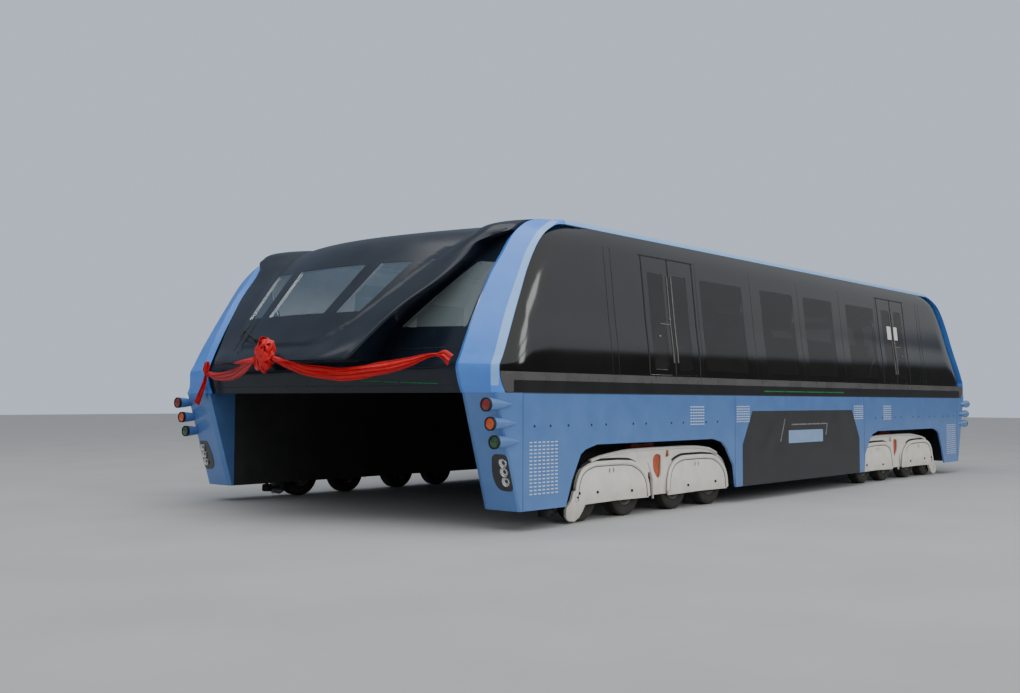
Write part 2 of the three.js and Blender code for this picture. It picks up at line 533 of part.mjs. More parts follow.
// Wheels: tyre and disc turned as one closed profile, [radius, offset along the axle]
const WHEEL_PROFILE = [
  [BORE_R, -110], [235, -100], [262, -TYRE_HALF], [395, -TYRE_HALF], [TYRE_R, -90],
  [TYRE_R, 90], [395, TYRE_HALF], [BORE_R, TYRE_HALF], [BORE_R, -110],
];
const wheelGeometry = new THREE.LatheGeometry(
  WHEEL_PROFILE.map(([r, w]) => new THREE.Vector2(r, w)), 20);
const wheel = solid(wheelGeometry);
const ENDS = [{ end: "front", sx: 1 }, { end: "rear", sx: -1 }];
const SIDES = [{ side: "left", sy: 1 }, { side: "right", sy: -1 }];
const STATIONS = [COVER_OFFSET + TYRE_OFFSET, COVER_OFFSET - TYRE_OFFSET,
  -COVER_OFFSET + TYRE_OFFSET, -COVER_OFFSET - TYRE_OFFSET];
for (const { end, sx } of ENDS) {
  for (const { side, sy } of SIDES) {
    STATIONS.forEach((station, index) => {
      const x = sx * (BOGIE_X + station);
      const placed = wheel.mirror([0, 1, 0]);
      const turned = sy > 0 ? placed : wheel;
      add(`wheel_${end}_${side}_${index + 1}`, turned.translate([x, sy * TYRE_Y, TYRE_R]), 0x1b1b1c, 0, 0.9);
    });
  }
}

// Red sash: a rosette on the front lip and a swag to each corner frame
const swag = (points, radius) => {
  const curve = new THREE.CatmullRomCurve3(points.map((p) => new THREE.Vector3(...p)));
  const ring = [];
  for (let i = 0; i < 8; i += 1) {
    const turn = i * Math.PI / 4;
    ring.push([Math.cos(turn) * radius, Math.sin(turn) * radius]);
  }
  const options = { steps: 20, bevelEnabled: false, extrudePath: curve };
  return solid(new THREE.ExtrudeGeometry(shapeOf(ring), options));
};
const rosette = solid(new THREE.SphereGeometry(200, 20, 14).scale(0.6, 1, 1.4).translate(10980, 210, 2600));
const sash = joined([
  rosette,
  swag([[10960, 300, 2560], [10900, 650, 2455], [10780, 930, 2365], [10610, 1320, 2300], [10480, 1620, 2305],
    [10310, 2010, 2370], [10100, 2490, 2475], [9905, 2880, 2590], [9850, 3010, 2580], [9830, 3120, 2450]], 60),
  swag([[10960, 100, 2540], [10930, -210, 2500], [10860, -400, 2470], [10720, -780, 2400], [10530, -1290, 2325],
    [10280, -1930, 2305], [10070, -2500, 2325], [9940, -2900, 2390], [9890, -3060, 2370], [9870, -3160, 2140],
    [9850, -3280, 1980], [9830, -3390, 1840]], 52),
]);
const keepClear = bulge.add(bulge.translate([3, 0, 0])).add(bulge.translate([0, 0, -1]));
const trim = box(NOSE_X + SASH_PROUD, 12000, -4000, 4000, 0, 5000);
add("red_sash", sash.subtract(keepClear).subtract(trim), 0xc81919, 0, 0.8);

export default group;
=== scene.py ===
# Straddling bus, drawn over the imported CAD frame. Units are metres, +X forward, +Y left, +Z up.
import math
import random

import bmesh
import bpy
from mathutils import Matrix, Vector


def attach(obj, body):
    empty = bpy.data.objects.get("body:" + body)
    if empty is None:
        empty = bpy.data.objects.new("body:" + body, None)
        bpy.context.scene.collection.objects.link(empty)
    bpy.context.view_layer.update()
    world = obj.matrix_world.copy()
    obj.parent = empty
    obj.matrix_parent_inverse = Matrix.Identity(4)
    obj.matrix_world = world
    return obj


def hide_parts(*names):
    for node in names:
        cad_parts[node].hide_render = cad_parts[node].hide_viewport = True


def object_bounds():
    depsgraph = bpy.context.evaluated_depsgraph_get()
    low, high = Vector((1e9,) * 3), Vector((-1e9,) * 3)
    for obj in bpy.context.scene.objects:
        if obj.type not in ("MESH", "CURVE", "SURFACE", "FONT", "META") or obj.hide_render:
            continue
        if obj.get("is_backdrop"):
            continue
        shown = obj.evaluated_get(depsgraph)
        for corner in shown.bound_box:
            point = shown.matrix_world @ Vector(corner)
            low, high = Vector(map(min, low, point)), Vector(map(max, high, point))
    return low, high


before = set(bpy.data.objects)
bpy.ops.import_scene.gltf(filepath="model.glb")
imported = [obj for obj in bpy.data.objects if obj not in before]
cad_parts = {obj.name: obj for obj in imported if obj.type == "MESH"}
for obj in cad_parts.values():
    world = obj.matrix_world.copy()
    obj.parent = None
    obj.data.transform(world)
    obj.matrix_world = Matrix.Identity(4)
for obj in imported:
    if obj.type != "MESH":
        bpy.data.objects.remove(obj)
cad_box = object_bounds()

# Camera, fitted to the photograph: place, heading, tilt and lens
CAM_PLACE = (21.135, 14.091, 1.903)
CAM_HEADING = math.radians(-139.049)
CAM_TILT = math.radians(2.869)
CAM_ROLL = math.radians(0.171)
CAM_LENS = 38.24
camera_data = bpy.data.cameras.new("camera")
camera_data.lens = CAM_LENS
camera_data.sensor_width = 36
camera_data.clip_end = 400
camera = bpy.data.objects.new("camera", camera_data)
camera.matrix_world = (
    Matrix.Translation(CAM_PLACE)
    @ Matrix.Rotation(CAM_HEADING - math.pi / 2, 4, "Z")
    @ Matrix.Rotation(math.pi / 2 + CAM_TILT, 4, "X")
    @ Matrix.Rotation(CAM_ROLL, 4, "Z")
)
bpy.context.collection.objects.link(camera)
bpy.context.scene.camera = camera


# Nose shells: gloss-painted moulded shells at both ends. A barrel-shaped face with a broad raised rim
# stands out from the raked wall beside it. Each is one skin over level sections, cut for the panes and
# thickened inwards, with pale reveals at the panes.
SET_BACK = -0.05
ENDS = (("front", 1), ("rear", -1))
SIDES = (("left", 1), ("right", -1))
CORNERS = [(f"{end}_{side}", (sx, sy)) for end, sx in ENDS for side, sy in SIDES]


def smooth(knots, values, t):
    """The value at t on a smooth line through values at rising knots, with no overshoot."""
    last = len(knots) - 2
    i = sum(1 for knot in knots[1:-1] if knot <= t)

    def slope(k):
        return (values[k + 1] - values[k]) / (knots[k + 1] - knots[k])

    def tangent(k):
        if k == 0 or k > last:
            return slope(min(k, last))
        before, after = slope(k - 1), slope(k)
        return 0 if before * after <= 0 else 2 * before * after / (before + after)

    width = knots[i + 1] - knots[i]
    f = (t - knots[i]) / width
    return (
        (2 * f**3 - 3 * f**2 + 1) * values[i] + (f**3 - 2 * f**2 + f) * width * tangent(i)
        + (3 * f**2 - 2 * f**3) * values[i + 1] + (f**3 - f**2) * width * tangent(i + 1)
    )


def run_of(points):
    """Distances along a line of points, from its first."""
    total = [0.0]
    for p, q in zip(points, points[1:]):
        total.append(total[-1] + math.dist(p, q))
    return total


def grid(cols, rows, place):
    """A sheet of cols by rows faces whose corners go where place(column, row) says."""
    bm = bmesh.new()
    bmesh.ops.create_grid(bm, x_segments=cols, y_segments=rows, size=0.5)
    for vert in bm.verts:
        vert.co = place(round((vert.co.x + 0.5) * cols), round((vert.co.y + 0.5) * rows))
    return bm


def face_out(bm, towards):
    """Turns a sheet's faces to look the given way."""
    bmesh.ops.recalc_face_normals(bm, faces=bm.faces)
    bm.normal_update()
    if sum(face.calc_area() * face.normal.dot(Vector(towards)) for face in bm.faces) < 0:
        bmesh.ops.reverse_faces(bm, faces=bm.faces)
    return bm


def within(outline, u, v):
    """Whether a point lies inside a closed outline."""
    odd = False
    for (u0, v0), (u1, v1) in zip(outline, outline[1:] + outline[:1]):
        if (v0 > v) != (v1 > v) and u < u0 + (u1 - u0) * (v - v0) / (v1 - v0):
            odd = not odd
    return odd


def rounded(corners, radius, steps=4):
    """A closed outline with its corners rounded."""
    outline = []
    for i, corner in enumerate(corners):
        here = Vector(corner)
        ends = []
        for other in (corners[i - 1], corners[(i + 1) % len(corners)]):
            away = Vector(other) - here
            ends.append(here + away.normalized() * min(radius, away.length * 0.45))
        for k in range(steps + 1):
            f = k / steps
            outline.append(tuple((1 - f) ** 2 * ends[0] + 2 * f * (1 - f) * here + f**2 * ends[1]))
    return outline


def cut(bm, outlines, axes, keep=False, looks=None, margin=0.35):
    """Cuts closed outlines, drawn on two axes, out of a sheet, or keeps only what they hold."""
    u, v = axes
    bm.normal_update()
    chosen = set()
    for outline in outlines:
        low = (min(p[0] for p in outline) - margin, min(p[1] for p in outline) - margin)
        high = (max(p[0] for p in outline) + margin, max(p[1] for p in outline) + margin)
        for p, q in zip(outline, outline[1:] + outline[:1]):
            if math.dist(p, q) < 1e-6:
                continue
            near = []
            for face in bm.faces:
                middle = face.calc_center_median()
                if low[0] < middle[u] < high[0] and low[1] < middle[v] < high[1]:
                    if looks is None or looks(face):
                        near.append(face)
            parts = set(near)
            for face in near:
                parts.update(face.edges)
                parts.update(face.verts)
            normal = Vector((0, 0, 0))
            normal[u], normal[v] = q[1] - p[1], p[0] - q[0]
            place = Vector((0, 0, 0))
            place[u], place[v] = p
            bmesh.ops.bisect_plane(bm, geom=list(parts), dist=1e-5, plane_co=place, plane_no=normal)
            bm.normal_update()
    for face in bm.faces:
        if looks is not None and not looks(face):
            continue
        middle = face.calc_center_median()
        if any(within(outline, middle[u], middle[v]) for outline in outlines):
            chosen.add(face)
    gone = [face for face in bm.faces if (face in chosen) != keep]
    bmesh.ops.delete(bm, geom=gone, context="FACES")
    return bm


def thicken(bm, wall, rim_slot=0):
    """Gives a sheet a wall on its back, and can give the rim's upright edges their own material slot."""
    old = set(bm.verts)
    bmesh.ops.solidify(bm, geom=bm.faces[:], thickness=wall)
    bm.normal_update()
    for face in bm.faces:
        count = sum(vert in old for vert in face.verts)
        if 0 < count < len(face.verts) and abs(face.normal.y) > 0.55:
            face.material_index = rim_slot
    return bm


def combined(*parts):
    """Puts several meshes into one."""
    whole = bmesh.new()
    for part in parts:
        mesh = bpy.data.meshes.new("part")
        part.to_mesh(mesh)
        whole.from_mesh(mesh)
        bpy.data.meshes.remove(mesh)
    return whole


def add_piece(name, bm, finishes, body="bus_body", flip=(1, 1), edge=0.0, sharp=32):
    """Makes a piece of the bus from a mesh, turned to its corner of the bus and with its edges eased."""
    work = bm.copy()
    bmesh.ops.scale(work, vec=(flip[0], flip[1], 1), verts=work.verts)
    bmesh.ops.translate(work, vec=(SET_BACK, 0, 0), verts=work.verts)
    if flip[0] * flip[1] < 0:
        bmesh.ops.reverse_faces(work, faces=work.faces)
    work.normal_update()
    for face in work.faces:
        face.smooth = True
    for line in work.edges:
        line.smooth = len(line.link_faces) == 2 and line.calc_face_angle(3.2) < math.radians(sharp)
    mesh = bpy.data.meshes.new(name)
    work.to_mesh(mesh)
    work.free()
    for finish in finishes if isinstance(finishes, (list, tuple)) else (finishes,):
        mesh.materials.append(finish)
    piece = bpy.data.objects.new(name, mesh)
    bpy.context.collection.objects.link(piece)
    if edge:
        bevel = piece.modifiers.new("eased edge", "BEVEL")
        bevel.width = edge
        bevel.segments = 2
        bevel.limit_method = "ANGLE"
        bevel.angle_limit = math.radians(sharp)
        bevel.harden_normals = True
    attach(piece, body)
    return piece


def feed(node, inputs):
    """Sets a shader node's inputs to values, or links them to other nodes' outputs."""
    for name, value in inputs.items():
        if isinstance(value, bpy.types.NodeSocket):
            node.id_data.links.new(value, node.inputs[name])
        else:
            node.inputs[name].default_value = value


def add_node(tree, kind, inputs, **settings):
    """Adds a shader node with its settings and its inputs."""
    node = tree.nodes.new("ShaderNode" + kind)
    for name, value in settings.items():
        setattr(node, name, value)
    feed(node, inputs)
    return node


def colour_steps(node, steps):
    """Gives a colour ramp its places and colours."""
    elements = node.color_ramp.elements
    while len(elements) < len(steps):
        elements.new(0.5)
    for element, (place, colour) in zip(elements, steps):
        element.position = place
        element.color = (*colour, 1)


def shader_of(mat):
    return mat.node_tree.nodes["Principled BSDF"]


def paint(name, colour, colour2, scale, rough, rough2, metal=0.0, coat=0.0, bump=0.0, shine=0.5):
    """A finish with two mixed tones, uneven roughness and a slight waviness."""
    mat = bpy.data.materials.new(name)
    mat.use_nodes = True
    tree = mat.node_tree
    coord = add_node(tree, "TexCoord", {}).outputs["Object"]
    uneven = add_node(tree, "TexNoise", {"Vector": coord, "Scale": scale, "Detail": 6}).outputs["Fac"]
    tones = add_node(tree, "ValToRGB", {"Fac": uneven})
    colour_steps(tones, ((0.35, colour), (0.7, colour2)))
    spread = add_node(tree, "MapRange", {"Value": uneven, "To Min": rough, "To Max": rough2})
    feed(shader_of(mat), {
        "Base Color": tones.outputs["Color"], "Roughness": spread.outputs["Result"], "Metallic": metal,
        "Specular IOR Level": shine, "Coat Weight": coat, "Coat Roughness": 0.06,
    })
    if bump:
        waves = add_node(tree, "Bump", {"Height": uneven, "Strength": bump, "Distance": 0.01})
        feed(shader_of(mat), {"Normal": waves.outputs["Normal"]})
    return mat


def glass_tint_and_reflection(name, colour, rough, solid):
    """Glass with a faint patchy film, coloured by its tint where dark and by a painted reflection where
    pale; solid is how much of it hides what is behind.
    """
    mat = paint(name, colour, tuple(c * 1.15 for c in colour), 1.5, rough, rough * 2.5)
    feed(shader_of(mat), {"Alpha": solid})
    return mat


slate = paint("nose_slate", (0.009, 0.014, 0.024), (0.014, 0.021, 0.034), 2, 0.18, 0.30, 0.0, 0.0, 0.0, 0.36)
reveal = paint("pale_reveal", (0.50, 0.54, 0.54), (0.60, 0.63, 0.62), 6, 0.4, 0.6)
# the screen and quarter panes' pale blue-grey is a painted reflection of the sky
screen_glass = glass_tint_and_reflection("screen_glass", (0.10, 0.145, 0.19), 0.03, 0.45)
quarter_glass = glass_tint_and_reflection("quarter_glass", (0.17, 0.21, 0.22), 0.03, 0.62)
rubber_black = paint("rubber_black", (0.008, 0.008, 0.008), (0.015, 0.015, 0.015), 12, 0.5, 0.7)
led_green = paint("led_green", (0.01, 0.20, 0.05), (0.02, 0.42, 0.10), 60, 0.3, 0.4)

# z, front at the centre, barrel, crease half width, ridge x, outer x, half width, root half width, root x
NOSE_ROWS = (
    (4.797, 7.750, 0.00, 2.30, 7.750, 7.750, 3.199, 3.199, 7.70),
    (4.785, 8.200, 0.06, 2.30, 8.100, 8.020, 3.199, 3.199, 7.90),
    (4.740, 8.500, 0.09, 2.30, 8.380, 8.270, 3.199, 3.199, 8.10),
    (4.665, 8.830, 0.105, 2.30, 8.640, 8.450, 3.199, 3.199, 8.30),
    (4.555, 9.050, 0.105, 2.25, 8.790, 8.620, 3.199, 3.199, 8.45),
    (4.450, 9.190, 0.10, 2.20, 8.890, 8.830, 2.950, 2.930, 8.517),
    (4.340, 9.310, 0.095, 2.15, 9.000, 8.980, 2.760, 2.730, 8.595),
    (4.120, 9.525, 0.085, 2.01, 9.225, 9.200, 2.680, 2.590, 8.755),
    (3.820, 9.795, 0.08, 1.81, 9.535, 9.510, 2.560, 2.290, 8.984),
    (3.340, 10.227, 0.08, 1.49, 10.050, 10.020, 2.180, 1.720, 9.264),
    (2.820, 10.695, 0.08, 1.15, 10.550, 10.460, 1.860, 1.370, 9.526),
    (2.590, 10.950, 0.08, 1.00, 10.820, 10.640, 1.740, 1.300, 9.626),
    (2.530, 11.000, 0.08, 0.95, 10.870, 10.680, 1.680, 1.280, 9.650),
    (2.500, 10.890, 0.08, 0.90, 10.770, 10.640, 1.600, 1.250, 9.660),
    (2.500, 9.700, 0.00, 0.75, 9.700, 9.730, 1.250, 1.240, 9.660),
)
NOSE_STEPS = (4, 4, 5, 4, 4, 4, 6, 8, 12, 16, 10, 3, 2, 3)
NOSE_KNOTS = run_of([(row[1], row[0]) for row in NOSE_ROWS])
NOSE_FIELDS = [[row[k] for row in NOSE_ROWS] for k in range(9)]
FACE_COLS, RIM_COLS, TURN_COLS, FLANK_COLS = 14, 14, 4, 4
HALF_COLS = FACE_COLS + RIM_COLS + TURN_COLS + FLANK_COLS
RIM_ROUND = 0.06
STEP_DEEP, STEP_WIDE = 0.030, 0.05
STEP_FOOT, STEP_ROUND = 2.80, 0.4

nose_runs = [NOSE_KNOTS[0]]
for count, low, high in zip(NOSE_STEPS, NOSE_KNOTS, NOSE_KNOTS[1:]):
    nose_runs += [low + (high - low) * (k + 1) / count for k in range(count)]


def nose_point(col, row):
    """A point of the nose, counted in columns from one root to the other and in rows from the roof."""
    z, x0, barrel, crease, ridge, outer, half, root, back = (
        smooth(NOSE_KNOTS, field, nose_runs[row]) for field in NOSE_FIELDS)
    step = abs(col - HALF_COLS)
    turn = min(RIM_ROUND, half - root + 0.001) if half - root < RIM_ROUND else RIM_ROUND
    at_crease = x0 - barrel * crease**2
    if step <= FACE_COLS:
        y = crease * step / FACE_COLS
        x = x0 - barrel * y**2
    elif step <= FACE_COLS + RIM_COLS:
        f = (step - FACE_COLS) / RIM_COLS
        y = crease + (half - turn - crease) * f
        x = at_crease * 2 * (f - 0.5) * (f - 1) + ridge * 4 * f * (1 - f) + outer * 2 * f * (f - 0.5)
    elif step <= FACE_COLS + RIM_COLS + TURN_COLS:
        angle = (step - FACE_COLS - RIM_COLS) / TURN_COLS * math.pi / 2
        y = half - turn + turn * math.sin(angle)
        x = outer - turn + turn * math.cos(angle)
    else:
        f = (step - FACE_COLS - RIM_COLS - TURN_COLS) / FLANK_COLS
        y = half + (root - half) * f
        x = (outer - turn) + (back - outer + turn) * f
    # outside a U-shaped line round the face, the rim stands lower
    side, below = y - crease - 0.03, STEP_FOOT - z
    if side > -STEP_ROUND and below > -STEP_ROUND:
        gap = math.hypot(side + STEP_ROUND, below + STEP_ROUND) - STEP_ROUND
    else:
        gap = max(side, below)
    f = min(1, max(0, gap / STEP_WIDE)) * min(1, max(0, (4.5 - z) / 0.5)) * min(1, max(0, (z - 2.5) / 0.03))
    drop = STEP_DEEP * f * f * (3 - 2 * f)
    return Vector((x - 0.74 * drop, math.copysign(y, col - HALF_COLS), z - 0.67 * drop))


PANES = (
    [(-0.70, 3.28), (0.70, 3.28), (0.83, 4.11), (-0.83, 4.11)],
    [(0.975, 3.28), (1.42, 3.28), (1.72, 4.11), (1.15, 4.11)],
    [(-1.42, 3.28), (-0.975, 3.28), (-1.15, 4.11), (-1.72, 4.11)],
)
PANE_ROUND = 0.03
PANE_THICK = 0.008
PANE_GAP = 0.006


def grown(outline, by):
    """An outline moved outwards from its middle, by about the given distance."""
    mid = Vector((sum(p[0] for p in outline), sum(p[1] for p in outline))) / len(outline)
    made = []
    for point in outline:
        away = Vector(point) - mid
        made.append(tuple(Vector(point) + Vector((math.copysign(by, away.x), math.copysign(by, away.y)))))
    return made


def faces_front(face):
    return face.normal.x > 0.3


nose_face = face_out(grid(2 * HALF_COLS, len(nose_runs) - 1, nose_point), (1, 0, 0.4))
screen = cut(nose_face.copy(), [rounded(p, PANE_ROUND) for p in PANES], (1, 2), keep=True, looks=faces_front)
cut(nose_face, [rounded(grown(p, PANE_GAP), PANE_ROUND) for p in PANES], (1, 2), looks=faces_front)
thicken(nose_face, 0.045, 1)
thicken(screen, PANE_THICK)

# End wall beside the bulge, from the roof to the chin: x, z
END_LINE = (
    (9.640, 2.02), (9.715, 2.25), (9.750, 2.41), (9.685, 2.57), (9.520, 2.95), (9.230, 3.50),
    (9.010, 3.86), (8.780, 4.15), (8.560, 4.46), (8.500, 4.555),
)
QUARTER = [(1.68, 3.06), (3.09, 3.01), (3.13, 4.02), (2.74, 4.07)]
QUARTER_ROUND = 0.045
FOOT_TOP = 2.02
END_TOP = 4.555
END_HALF = 3.199
END_COLS, END_ROWS = 48, 44
LANE_Y = 3.2


def end_x(z):
    return smooth([p[1] for p in END_LINE], [p[0] for p in END_LINE], z)


def end_point(col, row):
    z = FOOT_TOP + (END_TOP - FOOT_TOP) * row / END_ROWS
    return Vector((end_x(z), END_HALF * (2 * col / END_COLS - 1), z))


def mirrored(outline):
    return [(-u, v) for u, v in reversed(outline)]


root_line = [(row[7] - 0.05, row[0]) for row in NOSE_ROWS[5:13]]
behind_bulge = root_line + [(-y, z) for y, z in reversed(root_line)]
quarters = [QUARTER, mirrored(QUARTER)]
end_wall = face_out(grid(END_COLS, END_ROWS, end_point), (1, 0, 0))
quarter_panes = cut(end_wall.copy(), [rounded(q, QUARTER_ROUND) for q in quarters], (1, 2), keep=True)
cut(end_wall, [rounded(grown(q, PANE_GAP), QUARTER_ROUND) for q in quarters] + [behind_bulge], (1, 2))
thicken(end_wall, 0.07, 1)
thicken(quarter_panes, PANE_THICK)
nose_shell = combined(nose_face, end_wall)
for end, sx in ENDS:
    piece = add_piece(f"nose_skin_{end}", nose_shell, (slate, reveal), flip=(sx, 1))
    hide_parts(f"nose_shell_{end}")
    piece = add_piece(f"nose_panes_{end}", screen, screen_glass, flip=(sx, 1))
    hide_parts(f"windscreen_{end}")
    piece = add_piece(f"quarter_panes_{end}", quarter_panes, quarter_glass, flip=(sx, 1))
    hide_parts(f"quarter_window_{end}_left", f"quarter_window_{end}_right")

# Corner frames: painted steel frames at the four corners. Each is a band with a pale outer strip from
# the roof to the knee, and the leg's corner under it. The band's brighter blue is painted sky light, and
# the strip's paleness a painted highlight. Lofted over its sections, with eased edges.
blue = paint("body_blue", (0.100, 0.220, 0.52), (0.12, 0.25, 0.56), 3, 0.24, 0.38, 0.1, 0.35, 0.03)
# a brighter, more saturated copy of the body blue: painted sky light on the frame bands
lit_frame_blue = paint("lit_frame_blue", (0.080, 0.270, 0.84), (0.095, 0.300, 0.90), 3, 0.26, 0.40, 0.0, 0.15, 0.03)
# a paler copy of the frame blue: painted sky highlight on the outer strips and the roof edge
highlight_blue = paint("strip_highlight_blue", (0.26, 0.50, 0.92), (0.30, 0.54, 0.95), 3, 0.26, 0.38, 0.0, 0.15)

# Front face at the lane side, front face beside the strip, back edge: x, z each; then the strip's wrap
FRAME_ROWS = (
    (7.750, 4.796, 7.750, 4.788, 7.750, 4.700, 0.85),
    (8.000, 4.785, 7.950, 4.750, 7.970, 4.668, 0.40),
    (8.270, 4.720, 8.200, 4.640, 8.190, 4.585, 0.12),
    (8.470, 4.610, 8.390, 4.530, 8.380, 4.480, 0.10),
    (8.650, 4.460, 8.560, 4.390, 8.540, 4.345, 0.10),
    (8.880, 4.150, 8.790, 4.120, 8.700, 4.150, 0.08),
    (9.110, 3.860, 8.960, 3.840, 8.890, 3.860, 0.08),
    (9.330, 3.500, 9.180, 3.480, 9.100, 3.460, 0.08),
    (9.620, 2.950, 9.480, 2.940, 9.390, 2.920, 0.08),
    (9.785, 2.570, 9.665, 2.560, 9.592, 2.540, 0.08),
    (9.850, 2.410, 9.745, 2.390, 9.670, 2.390, 0.10),
    (9.815, 2.250, 9.742, 2.220, 9.645, 2.220, 0.35),
    (9.740, 2.020, 9.740, 2.020, 9.540, 2.020, 1.00),
)
FRAME_KNOTS = run_of([row[:2] for row in FRAME_ROWS])
FRAME_FIELDS = [[row[k] for row in FRAME_ROWS] for k in range(7)]
STRIP_W = 0.10
LEG_Y = 3.9
FOOT_LOW = 0.3
FOOT_BACK = 9.15
FOOT_IN, FOOT_OUT = 9.23, 9.74
FOOT_COUNT = 6
SIDE_Z = (2.02, 2.35, 3.35, 4.25, 4.42, 4.54, 4.63, 4.70, 4.80)
SIDE_Y = (LEG_Y, LEG_Y, 3.80, 3.71, 3.688, 3.66, 3.625, 3.59, 3.52)


def side_y(z):
    return smooth(SIDE_Z, SIDE_Y, z)


def loft(rows):
    """A closed skin through rows of points, each row one ring."""
    bm = bmesh.new()
    ring = bmesh.ops.create_circle(bm, cap_ends=False, radius=1, segments=len(rows[0]))["verts"]
    lines = bm.edges[:]
    for vert, point in zip(ring, rows[0]):
        vert.co = point
    for row in rows[1:]:
        made = bmesh.ops.extrude_edge_only(bm, edges=lines)["geom"]
        new = {part for part in made if isinstance(part, bmesh.types.BMVert)}
        ring = [next(e.other_vert(v) for e in v.link_edges if e.other_vert(v) in new) for v in ring]
        lines = [e for e in made if isinstance(e, bmesh.types.BMEdge) and set(e.verts) <= new]
        for vert, point in zip(ring, row):
            vert.co = point
    bmesh.ops.holes_fill(bm, edges=bm.edges[:], sides=0)
    bmesh.ops.recalc_face_normals(bm, faces=bm.faces)
    return bm


def frame_level(t):
    lx, lz, sx, sz, bx, bz, wrap = (smooth(FRAME_KNOTS, field, t) for field in FRAME_FIELDS)
    ex, ez = bx + (sx - bx) * wrap, bz + (sz - bz) * wrap
    return [
        (bx, LANE_Y, bz), (bx, side_y(bz), bz), (ex, side_y(ez), ez), (sx, side_y(sz) - STRIP_W, sz),
        (lx, LANE_Y + 0.06, lz), (lx + (bx - lx) * 0.3, LANE_Y - 0.045, lz + (bz - lz) * 0.3),
        (lx + (bx - lx) * 0.45, LANE_Y, lz + (bz - lz) * 0.45),
    ]


def foot_x(z):
    return FOOT_IN + (z - FOOT_LOW) * (FOOT_OUT - FOOT_IN) / (FOOT_TOP - FOOT_LOW)


def foot_level(z):
    x = foot_x(z)
    return [
        (FOOT_BACK, LANE_Y, z), (FOOT_BACK, LEG_Y, z), (x - 0.03, LEG_Y, z), (x, LEG_Y - 0.03, z),
        (x, LANE_Y + 0.09, z), (x - 0.04, LANE_Y, z),
    ]


FRAME_COUNT = 60
frame_band = loft([frame_level(FRAME_KNOTS[-1] * k / FRAME_COUNT) for k in range(FRAME_COUNT + 1)])
# faces of the outer strip take the pale blue, a painted highlight
for face in frame_band.faces:
    middle = face.calc_center_median()
    if middle.y > side_y(middle.z) - STRIP_W and face.normal.x > 0.2 and middle.z > 2.1:
        face.material_index = 1
foot_step = (FOOT_TOP - FOOT_LOW) / FOOT_COUNT
frame_foot = loft([foot_level(FOOT_TOP - foot_step * k) for k in range(FOOT_COUNT + 1)])
for face in frame_foot.faces:
    face.material_index = 2
corner = combined(frame_band, frame_foot)
for where, flip in CORNERS:
    piece = add_piece(f"corner_band_{where}", corner, (lit_frame_blue, highlight_blue, blue), flip=flip, edge=0.016,
                      sharp=14)
    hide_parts(f"corner_frame_{where}")

# Side walls: gloss dark panels that lean in, curl over under the roof's edge and roll in at both ends.
# One sheet each, cut for windows and doors, with flush panes and door leaves set in the openings.
wall_dark = paint("wall_dark", (0.008, 0.007, 0.006), (0.012, 0.010, 0.009), 1.2, 0.06, 0.14, 0, 0.5)
side_glass = glass_tint_and_reflection("tinted_glass", (0.020, 0.019, 0.017), 0.03, 0.80)
door_glass = glass_tint_and_reflection("door_glass", (0.018, 0.017, 0.016), 0.03, 0.85)
lining_pale = paint("lining_pale", (0.60, 0.62, 0.61), (0.70, 0.72, 0.71), 4, 0.4, 0.6)
bar_grey = paint("bar_grey", (0.20, 0.19, 0.185), (0.27, 0.26, 0.25), 12, 0.3, 0.45, 0.4)
metal_bar = paint("brushed_metal", (0.55, 0.53, 0.50), (0.65, 0.63, 0.60), 30, 0.2, 0.35, 0.9)

END_ROLL = 0.70
ROLL_DEPTH = 0.12
SIDE_WINDOWS = ((0.25, 1.65), (2.40, 3.95), (-1.65, -0.25), (-3.95, -2.40))
WINDOW_LOW, WINDOW_TOP = 2.45, 4.12
DOOR_IN, DOOR_SPLIT, DOOR_OUT = 4.20, 5.01, 5.83
DOOR_LOW, DOOR_TOP = 2.352, 4.40
WALL_LOW, WALL_TOP = 2.331, 4.70
back_z = [row[5] for row in reversed(FRAME_ROWS)]
back_x = [row[4] for row in reversed(FRAME_ROWS)]


def wall_end(z):
    return smooth(back_z, back_x, z)


def wall_y(x, z):
    """How far out the side wall stands, with its ends rolled in."""
    gap = max(0.0, wall_end(z) - abs(x))
    return side_y(z) - (ROLL_DEPTH * (1 - gap / END_ROLL) ** 2 if gap < END_ROLL else 0)


wall_x = [-9.62 + 0.06 * k for k in range(12)] + [-8.9 + 0.2 * k for k in range(90)]
wall_x += [8.96 + 0.06 * k for k in range(12)]
WALL_ROWS = 30


def wall_point(col, row):
    z = WALL_LOW + (WALL_TOP - WALL_LOW) * row / WALL_ROWS
    return Vector((wall_x[col], wall_y(wall_x[col], z), z))


def box_outline(x0, x1, z0, z1):
    return [(x0, z0), (x1, z0), (x1, z1), (x0, z1)]


WALL_LEVELS = (
    2.39, 2.54, 2.73, 2.92, 3.19, 3.46, 3.66, 3.86, 4.0, 4.15, 4.25, 4.345, 4.42, 4.48, 4.53, 4.585, 4.63,
    4.668, 4.69,
)
wall_outline = [(9.645, 2.2)] + [(wall_end(z) - 0.002, z) for z in WALL_LEVELS] + [(7.75, 4.75)]
wall_outline += [(-x, z) for x, z in reversed(wall_outline)]
windows = [rounded(box_outline(x0, x1, WINDOW_LOW, WINDOW_TOP), 0.05) for x0, x1 in SIDE_WINDOWS]
door_holes = [
    box_outline(x0, x1, DOOR_LOW, DOOR_TOP) for x0, x1 in ((DOOR_IN, DOOR_OUT), (-DOOR_OUT, -DOOR_IN))
]
wall = face_out(grid(len(wall_x) - 1, WALL_ROWS, wall_point), (0, 1, 0))
cut(wall, [wall_outline], (0, 2), keep=True)
panes = cut(wall.copy(), [grown(w, -0.004) for w in windows], (0, 2), keep=True)
